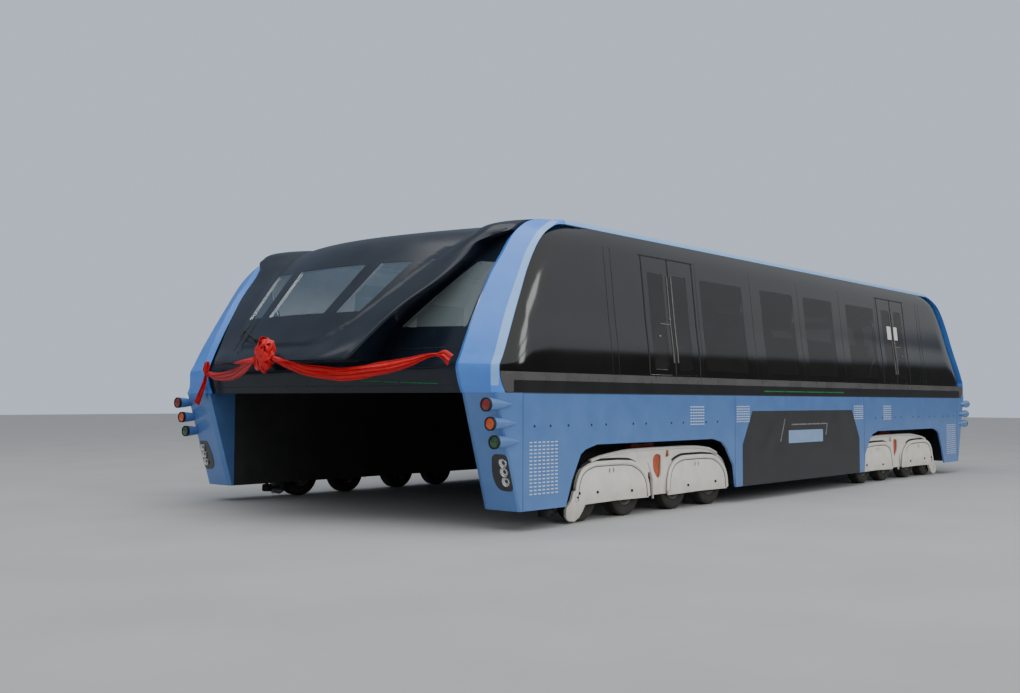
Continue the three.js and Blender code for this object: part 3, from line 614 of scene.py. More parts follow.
LEAVES = (("inner", DOOR_IN + 0.006, DOOR_SPLIT - 0.003), ("outer", DOOR_SPLIT + 0.003, DOOR_OUT - 0.006))
LEAF_PANES = ((4.44, 4.88), (5.20, 5.66))
leaf_z = (DOOR_LOW + 0.006, DOOR_TOP - 0.006)
leaf_sheets = []
for (leaf, x0, x1), (p0, p1) in zip(LEAVES, LEAF_PANES):
    sheet = cut(wall.copy(), [box_outline(x0, x1, *leaf_z)], (0, 2), keep=True)
    pane_outline = rounded(box_outline(p0, p1, WINDOW_LOW, WINDOW_TOP), 0.04)
    leaf_pane = cut(sheet.copy(), [pane_outline], (0, 2), keep=True)
    cut(sheet, [grown(pane_outline, 0.004)], (0, 2))
    leaf_sheets.append((leaf, thicken(sheet, 0.04), thicken(leaf_pane, PANE_THICK)))
cut(wall, windows + door_holes, (0, 2))
lining = wall.copy()
bmesh.ops.translate(lining, vec=(0, -0.075, 0), verts=lining.verts)
thicken(wall, 0.055)
thicken(lining, 0.01)
thicken(panes, PANE_THICK)
for side, sy in SIDES:
    piece = add_piece(f"side_skin_{side}", wall, wall_dark, flip=(1, sy))
    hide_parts(f"side_wall_{side}")
    add_piece(f"side_lining_{side}", lining, lining_pale, flip=(1, sy))
    piece = add_piece(f"side_panes_{side}", panes, side_glass, flip=(1, sy))
    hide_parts(f"side_glass_{side}")
    for end, sx in ENDS:
        for leaf, sheet, leaf_pane in leaf_sheets:
            piece = add_piece(f"door_{end}_{side}_{leaf}", sheet, wall_dark, flip=(sx, sy))
            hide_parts(f"door_leaf_{end}_{side}_{leaf}")
            add_piece(f"door_pane_{end}_{side}_{leaf}", leaf_pane, door_glass, flip=(sx, sy))


def side_strip(x0, x1, z0, z1, proud, back=0.004, rows=10, cols=1, slant=0.0):
    """A flat strip that follows the side wall, standing proud of it."""
    def place(col, row):
        z = z0 + (z1 - z0) * row / rows
        x = x0 + (x1 - x0) * col / cols + slant * (z - z0)
        return Vector((x, wall_y(x, z) + proud, z))
    return thicken(face_out(grid(cols, rows, place), (0, 1, 0)), proud + back)


# Roof edge: the blue cant rail that joins the corner frames along the top of each side. A strip of
# painted sheet metal, folded over the side wall's top edge. Its pale blue is a painted sky highlight.
RAIL_END = 7.749
RAIL_COLS = 24
# y and z across the folded strip
RAIL_LINE = ((3.590, 4.700), (3.578, 4.740), (3.555, 4.768), (3.520, 4.783), (3.470, 4.790), (3.200, 4.796))


def rail_point(col, row):
    y, z = RAIL_LINE[row]
    return Vector((RAIL_END * (2 * col / RAIL_COLS - 1), y, z))


rail = thicken(face_out(grid(RAIL_COLS, len(RAIL_LINE) - 1, rail_point), (0, 0.5, 1)), 0.03)
for side, sy in SIDES:
    piece = add_piece(f"roof_edge_{side}", rail, highlight_blue, flip=(1, sy), sharp=60)
    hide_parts(f"cant_rail_{side}")

# Side trim: door frames, joint lines, grab bars, handles and two blank white cards on the rear door.
# Thin rubber, metal and card pieces laid on the side panels.
white_card = paint("white_card", (0.78, 0.78, 0.76), (0.84, 0.84, 0.82), 10, 0.5, 0.6)
LINE_LOW, LINE_TOP = 2.34, 4.42
joint_lines = []
for places, half, proud in (((6.72, 6.90, -6.72, -6.90), 0.005, 0.002),
                            ((2.05, -2.05, 0.0, 4.09, -4.09), 0.004, 0.0015)):
    for x in places:
        joint_lines.append(side_strip(x - half, x + half, LINE_LOW, LINE_TOP, proud))
bars = []
KNOBS = ((5.07, 3.33), (5.44, 3.02))
for sx in (1, -1):
    for x, half, proud in ((DOOR_IN, 0.016, 0.004), (DOOR_OUT, 0.016, 0.004), (DOOR_SPLIT, 0.02, 0.003)):
        joint_lines.append(side_strip(sx * x - half, sx * x + half, DOOR_LOW, DOOR_TOP, proud))
    head = sorted((sx * (DOOR_IN - 0.05), sx * (DOOR_OUT + 0.05)))
    joint_lines.append(side_strip(*head, 4.39, 4.412, 0.006, rows=2))
    for x in (DOOR_SPLIT - 0.075, DOOR_SPLIT + 0.055):
        bars.append(side_strip(sx * x - 0.012, sx * x + 0.012, 2.57, 4.08, 0.012))
    bars.append(side_strip(*sorted((sx * 5.09, sx * 5.39)), 3.235, 3.250, 0.012, rows=1))
    for x, z in KNOBS:
        knob = bmesh.new()
        bmesh.ops.create_uvsphere(knob, u_segments=12, v_segments=8, radius=0.022)
        bmesh.ops.translate(knob, vec=(sx * x, wall_y(x, z) + 0.006, z), verts=knob.verts)
        bars.append(knob)
card = [side_strip(-x - 0.13, -x + 0.11, 3.42, 3.74, 0.004, rows=3) for x in (4.80, 5.18)]
for side, sy in SIDES:
    add_piece(f"joint_lines_{side}", combined(*joint_lines), rubber_black, flip=(1, sy))
    add_piece(f"grab_bars_{side}", combined(*bars), bar_grey, flip=(1, sy))
add_piece("blank_cards", combined(*card), white_card)

# Band under the side panels: a light strip over a dark one, with a rounded light end by each frame,
# and a row of green lamps. Flat mouldings laid on the deck's edge.
band_light = paint("band_light", (0.095, 0.090, 0.087), (0.12, 0.114, 0.108), 2, 0.22, 0.34, 0.0, 0.3)
band_dark = paint("band_dark", (0.008, 0.008, 0.008), (0.012, 0.011, 0.011), 2, 0.25, 0.4)


def plate(outline, y, wall, holes=(), cell=0.12):
    """A flat plate drawn on x and z, facing out of the bus's left side."""
    x0, x1 = min(p[0] for p in outline), max(p[0] for p in outline)
    z0, z1 = min(p[1] for p in outline), max(p[1] for p in outline)
    cols, rows = max(1, round((x1 - x0) / cell)), max(1, round((z1 - z0) / cell))

    def place(col, row):
        return Vector((x0 + (x1 - x0) * col / cols, y, z0 + (z1 - z0) * row / rows))
    bm = face_out(grid(cols, rows, place), (0, 1, 0))
    cut(bm, [outline], (0, 2), keep=True, margin=cell + 0.05)
    for hole in holes:
        cut(bm, [hole], (0, 2), margin=cell + 0.05)
    return thicken(bm, wall)


def small_box(bm, middle, size, turn=Matrix()):
    """Adds a box to a mesh, at its middle and turned."""
    place = Matrix.Translation(middle) @ turn @ Matrix.Diagonal((*size, 1))
    bmesh.ops.create_cube(bm, size=1, matrix=place)


BAND_END = 9.36
BAND_LOW, BAND_SPLIT, BAND_TOP = 2.03, 2.205, 2.327
band_top = [(-9.652, BAND_TOP), (-9.642, 2.22), (-9.60, 2.12), (-9.55, 2.045), (-9.50, BAND_LOW),
            (-BAND_END, BAND_LOW), (-BAND_END, BAND_SPLIT)]
band_top += [(-x, z) for x, z in reversed(band_top)]
light_strip = plate(band_top, LEG_Y + 0.0062, 0.006, cell=0.5)
dark_strip = plate(box_outline(-BAND_END, BAND_END, BAND_LOW, BAND_SPLIT), LEG_Y + 0.0045, 0.0042, cell=1.0)
side_leds = bmesh.new()
LED_COUNT, LED_PITCH, LED_START = 74, 0.05, -1.85
LED_GROUP = 19
for k in range(LED_COUNT):
    # the last place of each group of lamps is a gap
    if k % LED_GROUP != LED_GROUP - 1:
        small_box(side_leds, (LED_START + LED_PITCH * k, LEG_Y + 0.006, 2.105), (0.032, 0.004, 0.022))
for side, sy in SIDES:
    add_piece(f"band_light_{side}", light_strip, band_light, flip=(1, sy), edge=0.002)
    add_piece(f"band_dark_{side}", dark_strip, band_dark, flip=(1, sy))
    add_piece(f"band_lamps_{side}", side_leds, led_green, flip=(1, sy))

# Chin lamps and seams: two runs of green lamps on one side of each end's chin, over the lane. The
# seams are the rubber joints across each end wall.
CHIN_Z, CHIN_SLOPE = 2.215, 0.035
chin = bmesh.new()
for y0, y1 in ((0.98, 1.82), (1.90, 2.70)):
    count = round((y1 - y0) / 0.05)
    for k in range(count):
        y = y0 + (k + 0.5) * (y1 - y0) / count
        z = CHIN_Z - CHIN_SLOPE * (y - 1.03)
        small_box(chin, (end_x(z) + 0.004, y, z), (0.012, 0.026, 0.013))


def end_strip(y0, y1, z, width, proud):
    def place(col, row):
        height = z + width * (row - 0.5)
        return Vector((end_x(height) + proud, y0 + (y1 - y0) * col / 12, height))
    return thicken(face_out(grid(12, 1, place), (1, 0, 0)), proud + 0.004)


SEAM_Y = 3.195
seams = [end_strip(1.36, SEAM_Y, 2.70, 0.012, 0.002), end_strip(-SEAM_Y, -1.36, 2.70, 0.012, 0.002),
         end_strip(-SEAM_Y, SEAM_Y, 2.40, 0.014, 0.003), end_strip(-SEAM_Y, SEAM_Y, 2.13, 0.010, 0.002)]
for end, sx in ENDS:
    add_piece(f"chin_lamps_{end}", chin, led_green, flip=(sx, sx))
    add_piece(f"chin_seams_{end}", combined(*seams), rubber_black, flip=(sx, 1))

# Leg panels: louvre slots pressed in the blue steel, drain holes, joint lines, and a dark trapezoid with
# silver lines and a blank pale plate. The panels' own solids stay.
# pale blocks for the louvre slots: a painted highlight on their pressed edges
slot_highlight_white = paint("slot_highlight_white", (0.78, 0.84, 0.92), (0.86, 0.90, 0.95), 20, 0.35, 0.5)
panel_grey = paint("panel_grey", (0.030, 0.029, 0.030), (0.040, 0.039, 0.040), 3, 0.35, 0.5)
plate_pale = paint("plate_pale", (0.25, 0.38, 0.60), (0.29, 0.42, 0.64), 6, 0.35, 0.5)
# first and last x and z, columns, rows, slot length, slot height
LOUVRES = (
    (8.32, 9.02, 0.51, 1.32, 7, 15, 0.056, 0.015), (4.08, 4.57, 1.47, 1.83, 6, 7, 0.052, 0.016),
    (2.40, 2.92, 1.50, 1.83, 6, 7, 0.052, 0.016),
)
SLOT_LEAN = Matrix.Rotation(-0.35, 4, "X")
slots = bmesh.new()
for x0, x1, z0, z1, cols, rows, length, height in LOUVRES:
    for sx in (1, -1):
        for col in range(cols):
            for row in range(rows):
                x = x0 + (x1 - x0) * (col + 0.5) / cols
                z = z0 + (z1 - z0) * (row + 0.5) / rows
                small_box(slots, (sx * x, LEG_Y - 0.0005, z), (length, 0.012, height), SLOT_LEAN)
DRAIN_Z = 1.53
DRAIN_X = (8.885, 8.509, 8.073, 7.485, 7.097, 6.335, 5.96, 5.175, 4.79, 4.025, 3.62)
drains = bmesh.new()
for x in DRAIN_X:
    for sx in (1, -1):
        place = Matrix.Translation((sx * x, LEG_Y - 0.0005, DRAIN_Z)) @ Matrix.Rotation(math.pi / 2, 4, "X")
        bmesh.ops.create_cone(drains, cap_ends=True, segments=12, radius1=0.02, radius2=0.02, depth=0.005,
                              matrix=place)
panel_joints = [plate(box_outline(x - 0.003, x + 0.003, 0.31, FOOT_TOP), LEG_Y + 0.0012, 0.002, cell=2)
                for x in (9.148, 2.97, -2.97, -9.148)]
panel_joints.append(plate(box_outline(-9.14, 9.14, 2.012, 2.018), LEG_Y + 0.0012, 0.002, cell=4))
trapezoid = plate([(-2.69, 0.302), (2.69, 0.302), (2.69, 1.08), (2.30, 1.72), (-2.30, 1.72), (-2.69, 1.08)],
                  LEG_Y + 0.004, 0.004, cell=1.4)
silver = []
for outline, cell in (([(1.14, 1.10), (1.165, 1.10), (0.965, 1.56), (0.94, 1.56)], 1),
                      (box_outline(-1.00, 0.67, 1.425, 1.45), 2),
                      ([(-1.02, 1.45), (-0.99, 1.45), (-0.915, 1.18), (-0.945, 1.18)], 1)):
    silver.append(plate(outline, LEG_Y + 0.008, 0.004, cell=cell))
blank_plate = plate(rounded(box_outline(-0.78, 0.80, 1.06, 1.32), 0.02), LEG_Y + 0.009, 0.005, cell=1)
for side, sy in SIDES:
    add_piece(f"louvre_slot_highlights_{side}", slots, slot_highlight_white, flip=(1, sy))
    add_piece(f"drain_holes_{side}", drains, rubber_black, flip=(1, sy))
    add_piece(f"panel_joints_{side}", combined(*panel_joints), rubber_black, flip=(1, sy))
    add_piece(f"trapezoid_{side}", trapezoid, panel_grey, flip=(1, sy), edge=0.001)
    add_piece(f"silver_lines_{side}", combined(*silver), metal_bar, flip=(1, sy))
    add_piece(f"blank_plate_{side}", blank_plate, plate_pale, flip=(1, sy))

# Lamp pods: three bullet-shaped steel pods on each corner, a dark rim and a coloured lens at the wide
# end. Turned profiles, standing half out of the corner's side.
# Name and the two tones of each lens, from the top
LENSES = (
    ("red", (0.16, 0.006, 0.004), (0.34, 0.014, 0.008)), ("amber", (0.50, 0.06, 0.004), (0.85, 0.13, 0.01)),
    ("green", (0.006, 0.05, 0.01), (0.02, 0.13, 0.03)),
)
# x of the lens and z of the axis of each pod, from the top
PODS = ((9.955, 1.85), (9.865, 1.58), (9.78, 1.318))
POD_LONG = 0.55
# Distance along the axis from the pod's tip, and radius
POD_PROFILE = (
    (0.0, 0.0), (0.003, 0.010), (0.03, 0.019), (0.10, 0.034), (0.20, 0.056), (0.30, 0.076), (0.39, 0.089),
    (0.46, 0.096), (0.50, 0.098), (0.512, 0.098),
)
RIM_PROFILE = ((0.505, 0.092), (0.506, 0.0995), (0.550, 0.0995), (0.550, 0.086), (0.540, 0.084))
LENS_PROFILE = ((0.538, 0.087), (0.545, 0.076), (0.551, 0.052), (0.554, 0.026), (0.555, 0.0))


def spun(profile, start, axis, steps=32):
    """A profile of distance and radius turned about an axis from a point."""
    axis = Vector(axis).normalized()
    out = axis.orthogonal().normalized()
    bm = bmesh.new()
    verts = [bm.verts.new(Vector(start) + axis * along + out * radius) for along, radius in profile]
    for a, b in zip(verts, verts[1:]):
        bm.edges.new((a, b))
    bmesh.ops.spin(bm, geom=bm.verts[:] + bm.edges[:], cent=start, axis=axis, angle=2 * math.pi, steps=steps,
                   use_merge=True)
    bmesh.ops.remove_doubles(bm, verts=bm.verts, dist=1e-5)
    bmesh.ops.recalc_face_normals(bm, faces=bm.faces)
    return bm


lens_paints = []
for name, colour, colour2 in LENSES:
    lens_paints.append(paint(f"lens_{name}", colour, colour2, 45, 0.12, 0.3, 0, 0.8, 0.4))
pod_axis = (POD_LONG, -0.014, 0)
pod_starts = [(x - POD_LONG, LEG_Y + 0.002, z) for x, z in PODS]
pods = combined(*[spun(POD_PROFILE, start, pod_axis) for start in pod_starts])
rims = combined(*[spun(RIM_PROFILE, start, pod_axis) for start in pod_starts])
for where, flip in CORNERS:
    add_piece(f"lamp_pods_{where}", pods, blue, flip=flip)
    add_piece(f"lamp_rims_{where}", rims, rubber_black, flip=flip)
    for (name, _, _), mat, start in zip(LENSES, lens_paints, pod_starts):
        lens = face_out(spun(LENS_PROFILE, start, pod_axis), (1, 0, 0))
        add_piece(f"lens_{name}_{where}", lens, mat, flip=flip)

# Headlamps: three round lamps with bright metal bowls, one above the other low on each leg's front
# face. A gloss black moulded panel with a silver edge holds them.
bowl_metal = paint("bowl_metal", (0.62, 0.62, 0.62), (0.72, 0.72, 0.72), 30, 0.12, 0.25, 0.95)
lamp_black = paint("lamp_black", (0.010, 0.010, 0.012), (0.018, 0.018, 0.02), 6, 0.12, 0.25, 0, 0.6)
BOWL = (
    (0.0, 0.02), (0.002, 0.04), (0.012, 0.058), (0.022, 0.066), (0.026, 0.066), (0.024, 0.072), (0.0, 0.074),
)


def foot_plate(outline, proud, wall):
    def place(col, row):
        y, z = 3.5 + 0.42 * col / 8, 0.55 + 0.75 * row / 12
        return Vector((foot_x(z) + proud, y, z))
    bm = face_out(grid(8, 12, place), (1, 0, 0))
    cut(bm, [outline], (1, 2), keep=True, margin=0.12)
    return thicken(bm, wall)


lamp_outline = rounded([(3.60, 1.12), (3.53, 0.80), (3.60, 0.62), (3.862, 0.60), (3.862, 1.12)], 0.09, 6)
lamp_back = foot_plate(grown(lamp_outline, -0.012), 0.006, 0.006)
lamp_edge = foot_plate(lamp_outline, 0.0035, 0.0035)
foot_tilt = (1, 0, -0.2965)
BOWL_PLACES = ((3.775, 0.74), (3.775, 0.88), (3.785, 1.01))
bowls = combined(*[spun(BOWL, (foot_x(z) + 0.005, y, z), foot_tilt, 24) for y, z in BOWL_PLACES])
for where, flip in CORNERS:
    add_piece(f"headlamp_edge_{where}", lamp_edge, metal_bar, flip=flip)
    add_piece(f"headlamp_panel_{where}", lamp_back, lamp_black, flip=flip)
    add_piece(f"headlamp_bowls_{where}", bowls, bowl_metal, flip=flip)

# Bogies: each carries four wheels behind two ivory covers with thick rims, on an arched ivory frame
# panel with a rail along its top. An orange mount shows through the panel. Plates with bevelled edges.
def ground_toned(name, colour, colour2, scale, rough, rough2, low_colour, low, high, **more):
    """A finish that turns, in blotches, towards a second colour near the ground."""
    mat = paint(name, colour, colour2, scale, rough, rough2, **more)
    tree = mat.node_tree
    own_tones = shader_of(mat).inputs["Base Color"].links[0].from_socket
    coord = add_node(tree, "TexCoord", {}).outputs["Object"]
    up = add_node(tree, "SeparateXYZ", {"Vector": coord}).outputs["Z"]
    near_ground = add_node(tree, "MapRange", {
        "Value": up, "From Min": low, "From Max": high, "To Min": 1, "To Max": 0}).outputs["Result"]
    blotch = add_node(tree, "TexNoise", {"Vector": coord, "Scale": 4, "Detail": 8}).outputs["Fac"]
    spots = add_node(tree, "Math", {0: near_ground, 1: blotch}, operation="MULTIPLY").outputs["Value"]
    mix = add_node(tree, "Mix", {"Factor": spots, "A": own_tones, "B": (*low_colour, 1)}, data_type="RGBA")
    feed(shader_of(mat), {"Base Color": mix.outputs["Result"]})
    return mat


# the covers turn darker and browner towards the ground
ivory = ground_toned("cover_ivory", (0.80, 0.77, 0.69), (0.88, 0.86, 0.79), 5, 0.4, 0.6,
             low_colour=(0.30, 0.26, 0.20), low=0.05, high=0.6)
orange = paint("mount_orange", (0.45, 0.09, 0.035), (0.60, 0.14, 0.06), 12, 0.4, 0.6)
steel_dark = paint("steel_dark", (0.03, 0.03, 0.032), (0.05, 0.05, 0.052), 8, 0.5, 0.7)


def bar(points, half_w, half_d, ease=0.35):
    """A square bar with eased corners along a line of points in the x and z plane."""
    rows = []
    for i, point in enumerate(points):
        before, after = points[max(i - 1, 0)], points[min(i + 1, len(points) - 1)]
        run = (Vector(after) - Vector(before)).normalized()
        across = run.cross(Vector((0, 1, 0)))
        half_ring = ((1, ease), (ease, 1), (-ease, 1), (-1, ease))
        whole_ring = half_ring + tuple((-u, -v) for u, v in half_ring)
        middle = Vector(point)
        rows.append([middle + across * half_w * u + Vector((0, half_d * v, 0)) for u, v in whole_ring])
    return loft(rows)


def box_between(low, high):
    """A box between two opposite corners."""
    bm = bmesh.new()
    low, high = Vector(low), Vector(high)
    small_box(bm, (low + high) / 2, high - low)
    return bm


# Bogie and hub middles, and the wheels' places along the bogie
BOGIE_X = 5.45
HUB_Y, HUB_Z = 3.522, 0.42
STATIONS = (1.96, 0.74, -0.74, -1.96)
# The covers, the frame panel behind them and the rail on it: outer faces
COVER_Y, PANEL_Y, RAIL_Y = 3.742, 3.695, 3.70
COVER_WALL = 0.03
# Outlines on x and z: a cover's rim from low front to low back, the panel's top, the front bracket
COVER_FRONT = (
    (7.66, 0.34), (7.65, 0.48), (7.615, 0.62), (7.56, 0.73), (7.47, 0.81), (7.33, 0.865), (7.12, 0.90),
    (6.65, 0.90), (6.20, 0.88), (6.00, 0.82), (5.83, 0.72), (5.72, 0.60), (5.67, 0.47), (5.65, 0.30),
)
COVER_REAR = tuple((x - 2.63, z + 0.005) for x, z in COVER_FRONT)
COVER_HOLES = (6.78, 6.67)
HOLE_Z = 0.775
PANEL_TOP = (
    (7.66, 0.34), (7.65, 0.52), (7.60, 0.70), (7.46, 0.86), (7.26, 0.95), (7.02, 1.00), (6.79, 1.03),
    (6.50, 1.06), (6.27, 1.08), (5.40, 1.09), (4.70, 1.09), (4.10, 1.08), (3.80, 1.055), (3.60, 1.03),
    (3.36, 0.95), (3.12, 0.84), (3.00, 0.68), (2.95, 0.50), (2.94, 0.34),
)
BRACKET = (
    (7.72, 0.50), (7.78, 0.36), (7.86, 0.28), (7.92, 0.22), (7.92, 0.12), (7.85, 0.05), (7.72, 0.03),
    (7.60, 0.08), (7.50, 0.18), (7.42, 0.30), (7.42, 0.50),
)


def line_points(line, y, parts=3):
    knots = run_of(line)
    total = knots[-1]
    count = (len(line) - 1) * parts
    made = []
    for k in range(count + 1):
        t = total * k / count
        made.append((smooth(knots, [p[0] for p in line], t), y, smooth(knots, [p[1] for p in line], t)))
    return made


def inset(line, by):
    """A line moved towards the middle of the cover, or away from it."""
    mid_x = (line[0][0] + line[-1][0]) / 2
    made = []
    for (x, z), before, after in zip(line, line[:1] + line[:-1], line[1:] + line[-1:]):
        run = Vector((after[0] - before[0], after[1] - before[1])).normalized()
        out = Vector((run.y, -run.x))
        made.append((x + out.x * by, z + out.y * by) if out.dot(Vector((mid_x - x, 0.3 - z))) > 0
                    else (x - out.x * by, z - out.y * by))
    return made


hole_line = [(0.022 * math.cos(a), 0.045 * math.sin(a)) for a in [2 * math.pi * k / 12 for k in range(12)]]
bogie_ivory, bogie_black_and_shadow = [], []
for line in (COVER_FRONT, COVER_REAR):
    front, back = line[0][0], line[-1][0]
    shift = front - COVER_FRONT[0][0]
    outline = [(p[0], p[2]) for p in line_points(line, 0)]
    low_edge = [(back, 0.275), (back + 0.9, 0.285), (back + 1.3, 0.28), (front, 0.27)]
    holes = [[(x + shift + u, HOLE_Z + v) for u, v in hole_line] for x in COVER_HOLES]
    bogie_ivory.append(plate(outline + low_edge, COVER_Y, COVER_WALL, holes))
    bogie_ivory.append(bar(line_points(inset(line, -0.005), 3.738), 0.036, 0.026))
    # thin black bar just inside each rim: a painted shadow line between the rim and the cover
    bogie_black_and_shadow.append(bar(line_points(inset(line, 0.043), 3.736), 0.008, 0.012))
    bogie_black_and_shadow.append(bar(line_points(inset(line[4:10], -0.058), 3.696), 0.020, 0.010))
    for x in COVER_HOLES:
        washer = ((0, 0), (0, 0.05), (0.004, 0.05), (0.004, 0))
        bogie_black_and_shadow.append(spun(washer, (x + shift, 3.712, HOLE_Z), (0, 1, 0), 12))
opening = rounded([(5.46, 0.92), (5.44, 0.72), (5.30, 0.56), (5.20, 0.60), (5.18, 0.98), (5.38, 1.00)], 0.07)
slot_line = [(5.60, 0.27), (5.60, 0.69), (5.54, 0.70), (5.49, 0.58), (5.47, 0.27)]
wedge = rounded([(5.06, 0.92), (4.93, 0.94), (4.95, 1.05), (5.03, 1.055)], 0.03)
panel = [(p[0], p[2]) for p in line_points(PANEL_TOP, 0)] + [(4.0, 0.30), (6.4, 0.30)]
hook = [(5.47, 0.24), (5.47, 0.50), (5.53, 0.70), (5.62, 0.86)]
bogie_ivory += [
    plate(panel, PANEL_Y, COVER_WALL, [opening, slot_line, wedge]),
    bar(line_points(PANEL_TOP[4:15], RAIL_Y), 0.026, 0.036), bar(line_points(hook, RAIL_Y), 0.010, 0.022),
    plate(list(BRACKET), 3.74, 0.05), bar(line_points(BRACKET[:6], 3.735, 2), 0.012, 0.014),
]
BOLT = ((-0.01, 0.0), (-0.01, 0.022), (0.016, 0.022), (0.022, 0.014), (0.022, 0.0))
for x, z in ((6.16, 0.42), (7.60, 0.46), (7.66, 0.40), (3.45, 0.43), (4.40, 0.41), (7.12, 0.45)):
    bogie_black_and_shadow.append(spun(BOLT, (x, 3.745, z), (0, 1, 0), 16))
mount = [
    box_between((4.90, 3.58, 0.50), (5.48, 3.655, 1.085)),
    box_between((5.00, 3.28, 1.10), (5.70, 3.42, 1.175)),
]
PIN = ((0.0, 0.0), (0.0, 0.11), (0.1297, 0.11), (0.1297, 0.0))
AXLE = ((0.0, 0.0), (0.0, 0.06), (0.355, 0.06), (0.355, 0.0))
bogie_steel = [
    box_between((3.30, 3.335, 0.33), (7.60, 3.365, 0.64)),
    box_between((5.26, 3.36, 0.50), (5.64, 3.60, 1.09)),
    spun(PIN, (BOGIE_X, 3.52, 1.17), (0, 0, 1), 24),
    box_between((7.60, 3.335, 0.33), (7.96, 3.365, 0.48)),
    box_between((7.88, 3.335, 0.14), (7.96, 3.53, 0.42)),
    box_between((7.89, 3.47, 0.16), (8.17, 3.53, 0.215)),
]
for station in STATIONS:
    bogie_steel.append(spun(AXLE, (BOGIE_X + station, 3.345, HUB_Z), (0, 1, 0), 20))
GUIDE = (
    (0.0, 0.0), (0.0, 0.07), (0.015, 0.095), (0.125, 0.095), (0.14, 0.07), (0.14, 0.03), (0.15, 0.03),
    (0.15, 0.0),
)
guide_wheel = spun(GUIDE, (8.17, 3.50, 0.12), (0, 0, 1), 28)

# Wheels: black rubber tyres with grooved treads, on painted steel discs held by ten nuts each. A tyre
# and a disc are turned profiles, and small blocks break up the tread.
# Distance along the axle from the wheel's middle, and radius
TYRE_PROFILE = (
    (-0.100, 0.235), (-0.118, 0.262), (-0.128, 0.300), (-0.130, 0.350), (-0.126, 0.385), (-0.112, 0.407),
    (-0.096, 0.417), (-0.070, 0.4195), (-0.066, 0.408), (-0.058, 0.408), (-0.054, 0.420), (-0.016, 0.420),
    (-0.012, 0.408), (0.012, 0.408), (0.016, 0.420), (0.054, 0.420), (0.058, 0.408), (0.066, 0.408),
    (0.070, 0.4195), (0.096, 0.417), (0.112, 0.407), (0.126, 0.385), (0.130, 0.350), (0.128, 0.300),
    (0.118, 0.262), (0.100, 0.235), (-0.100, 0.235),
)
DISC_PROFILE = (
    (-0.095, 0.066), (-0.095, 0.150), (-0.02, 0.190), (-0.09, 0.225), (-0.104, 0.240), (-0.100, 0.236),
    (0.100, 0.236), (0.104, 0.240), (0.09, 0.225), (0.0, 0.195), (0.06, 0.150), (0.115, 0.120),
    (0.115, 0.066), (-0.095, 0.066),
)
TREAD_ROWS = ((-0.083, 0.4), (-0.035, -0.4), (0.035, 0.4), (0.083, -0.4))
TREAD_COUNT, NUT_COUNT = 56, 10
TREAD_BLOCK = Matrix.Diagonal((0.026, 0.024, 0.003, 1))
rubber = ground_toned("tyre_rubber", (0.012, 0.012, 0.012), (0.022, 0.022, 0.021), 20, 0.7, 0.9,
              low_colour=(0.06, 0.055, 0.045), low=0.0, high=0.5)
disc_paint = paint("wheel_disc", (0.28, 0.28, 0.27), (0.36, 0.36, 0.35), 14, 0.4, 0.6, 0.4)


def turned(middle, k, count):
    """The k-th of a count of even turns about an axle's line."""
    return Matrix.Translation(middle) @ Matrix.Rotation(2 * math.pi * k / count, 4, "Y")


for where, flip in CORNERS:
    body = f"bogie_{where}"
    piece = add_piece(f"bogie_covers_{where}", combined(*bogie_ivory), ivory, body, flip, 0.004)
    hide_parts(body)
    add_piece(f"bogie_mount_{where}", combined(*mount), orange, body, flip, 0.006)
    add_piece(f"bogie_shadow_lines_and_bolts_{where}", combined(*bogie_black_and_shadow), rubber_black, body, flip)
    add_piece(f"bogie_steel_{where}", combined(*bogie_steel), steel_dark, body, flip, 0.004)
    add_piece(f"guide_wheel_{where}", guide_wheel, rubber, body, flip)
    for number, station in enumerate(STATIONS, 1):
        wheel_body = f"wheel_{where}_{number}"
        hub = (BOGIE_X + station, HUB_Y, HUB_Z)
        tyre = spun(TYRE_PROFILE, hub, (0, 1, 0), 56)
        for k in range(TREAD_COUNT):
            for y, lean in TREAD_ROWS:
                place = Matrix.Translation((0, y, 0.4185)) @ Matrix.Rotation(lean, 4, "Z")
                bmesh.ops.create_cube(tyre, size=1, matrix=turned(hub, k, TREAD_COUNT) @ place @ TREAD_BLOCK)
        piece = add_piece(f"tyre_{where}_{number}", tyre, rubber, wheel_body, flip)
        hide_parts(wheel_body)
        disc = spun(DISC_PROFILE, hub, (0, 1, 0), 40)
        for k in range(NUT_COUNT):
            place = Matrix.Translation((0, 0.122, 0.093)) @ Matrix.Rotation(math.pi / 2, 4, "X")
            bmesh.ops.create_cone(disc, cap_ends=True, segments=6, radius1=0.016, radius2=0.014, depth=0.02,
                                  matrix=turned(hub, k, NUT_COUNT) @ place)
        add_piece(f"disc_{where}_{number}", disc, disc_paint, wheel_body, flip)

# Wipers: a cast pivot boss, two parallel arms, a cross link and a long blade with its rubber. All are
# black rods that taper, and the blade is parked low on the screen.
SCREEN_X, SCREEN_Z = 10.92, 2.57
SCREEN_RAKE, SCREEN_BARREL = 0.9, 0.08
BOSS_Y = -0.5
SCREEN_N = Vector((1, 2 * SCREEN_BARREL * BOSS_Y, SCREEN_RAKE)).normalized()


def on_screen(y, z, lift):
    """A point in front of the screen, on the plane that touches it at the wiper's boss."""
    x = SCREEN_X - SCREEN_RAKE * (z - SCREEN_Z) - SCREEN_BARREL * BOSS_Y * (2 * y - BOSS_Y)
    return Vector((x, y, z)) + SCREEN_N * lift


def rod(start, finish, radius, radius2, steps):
    length = (finish - start).length
    return spun(((0, 0), (0, radius), (length, radius2), (length, 0)), start, finish - start, steps)


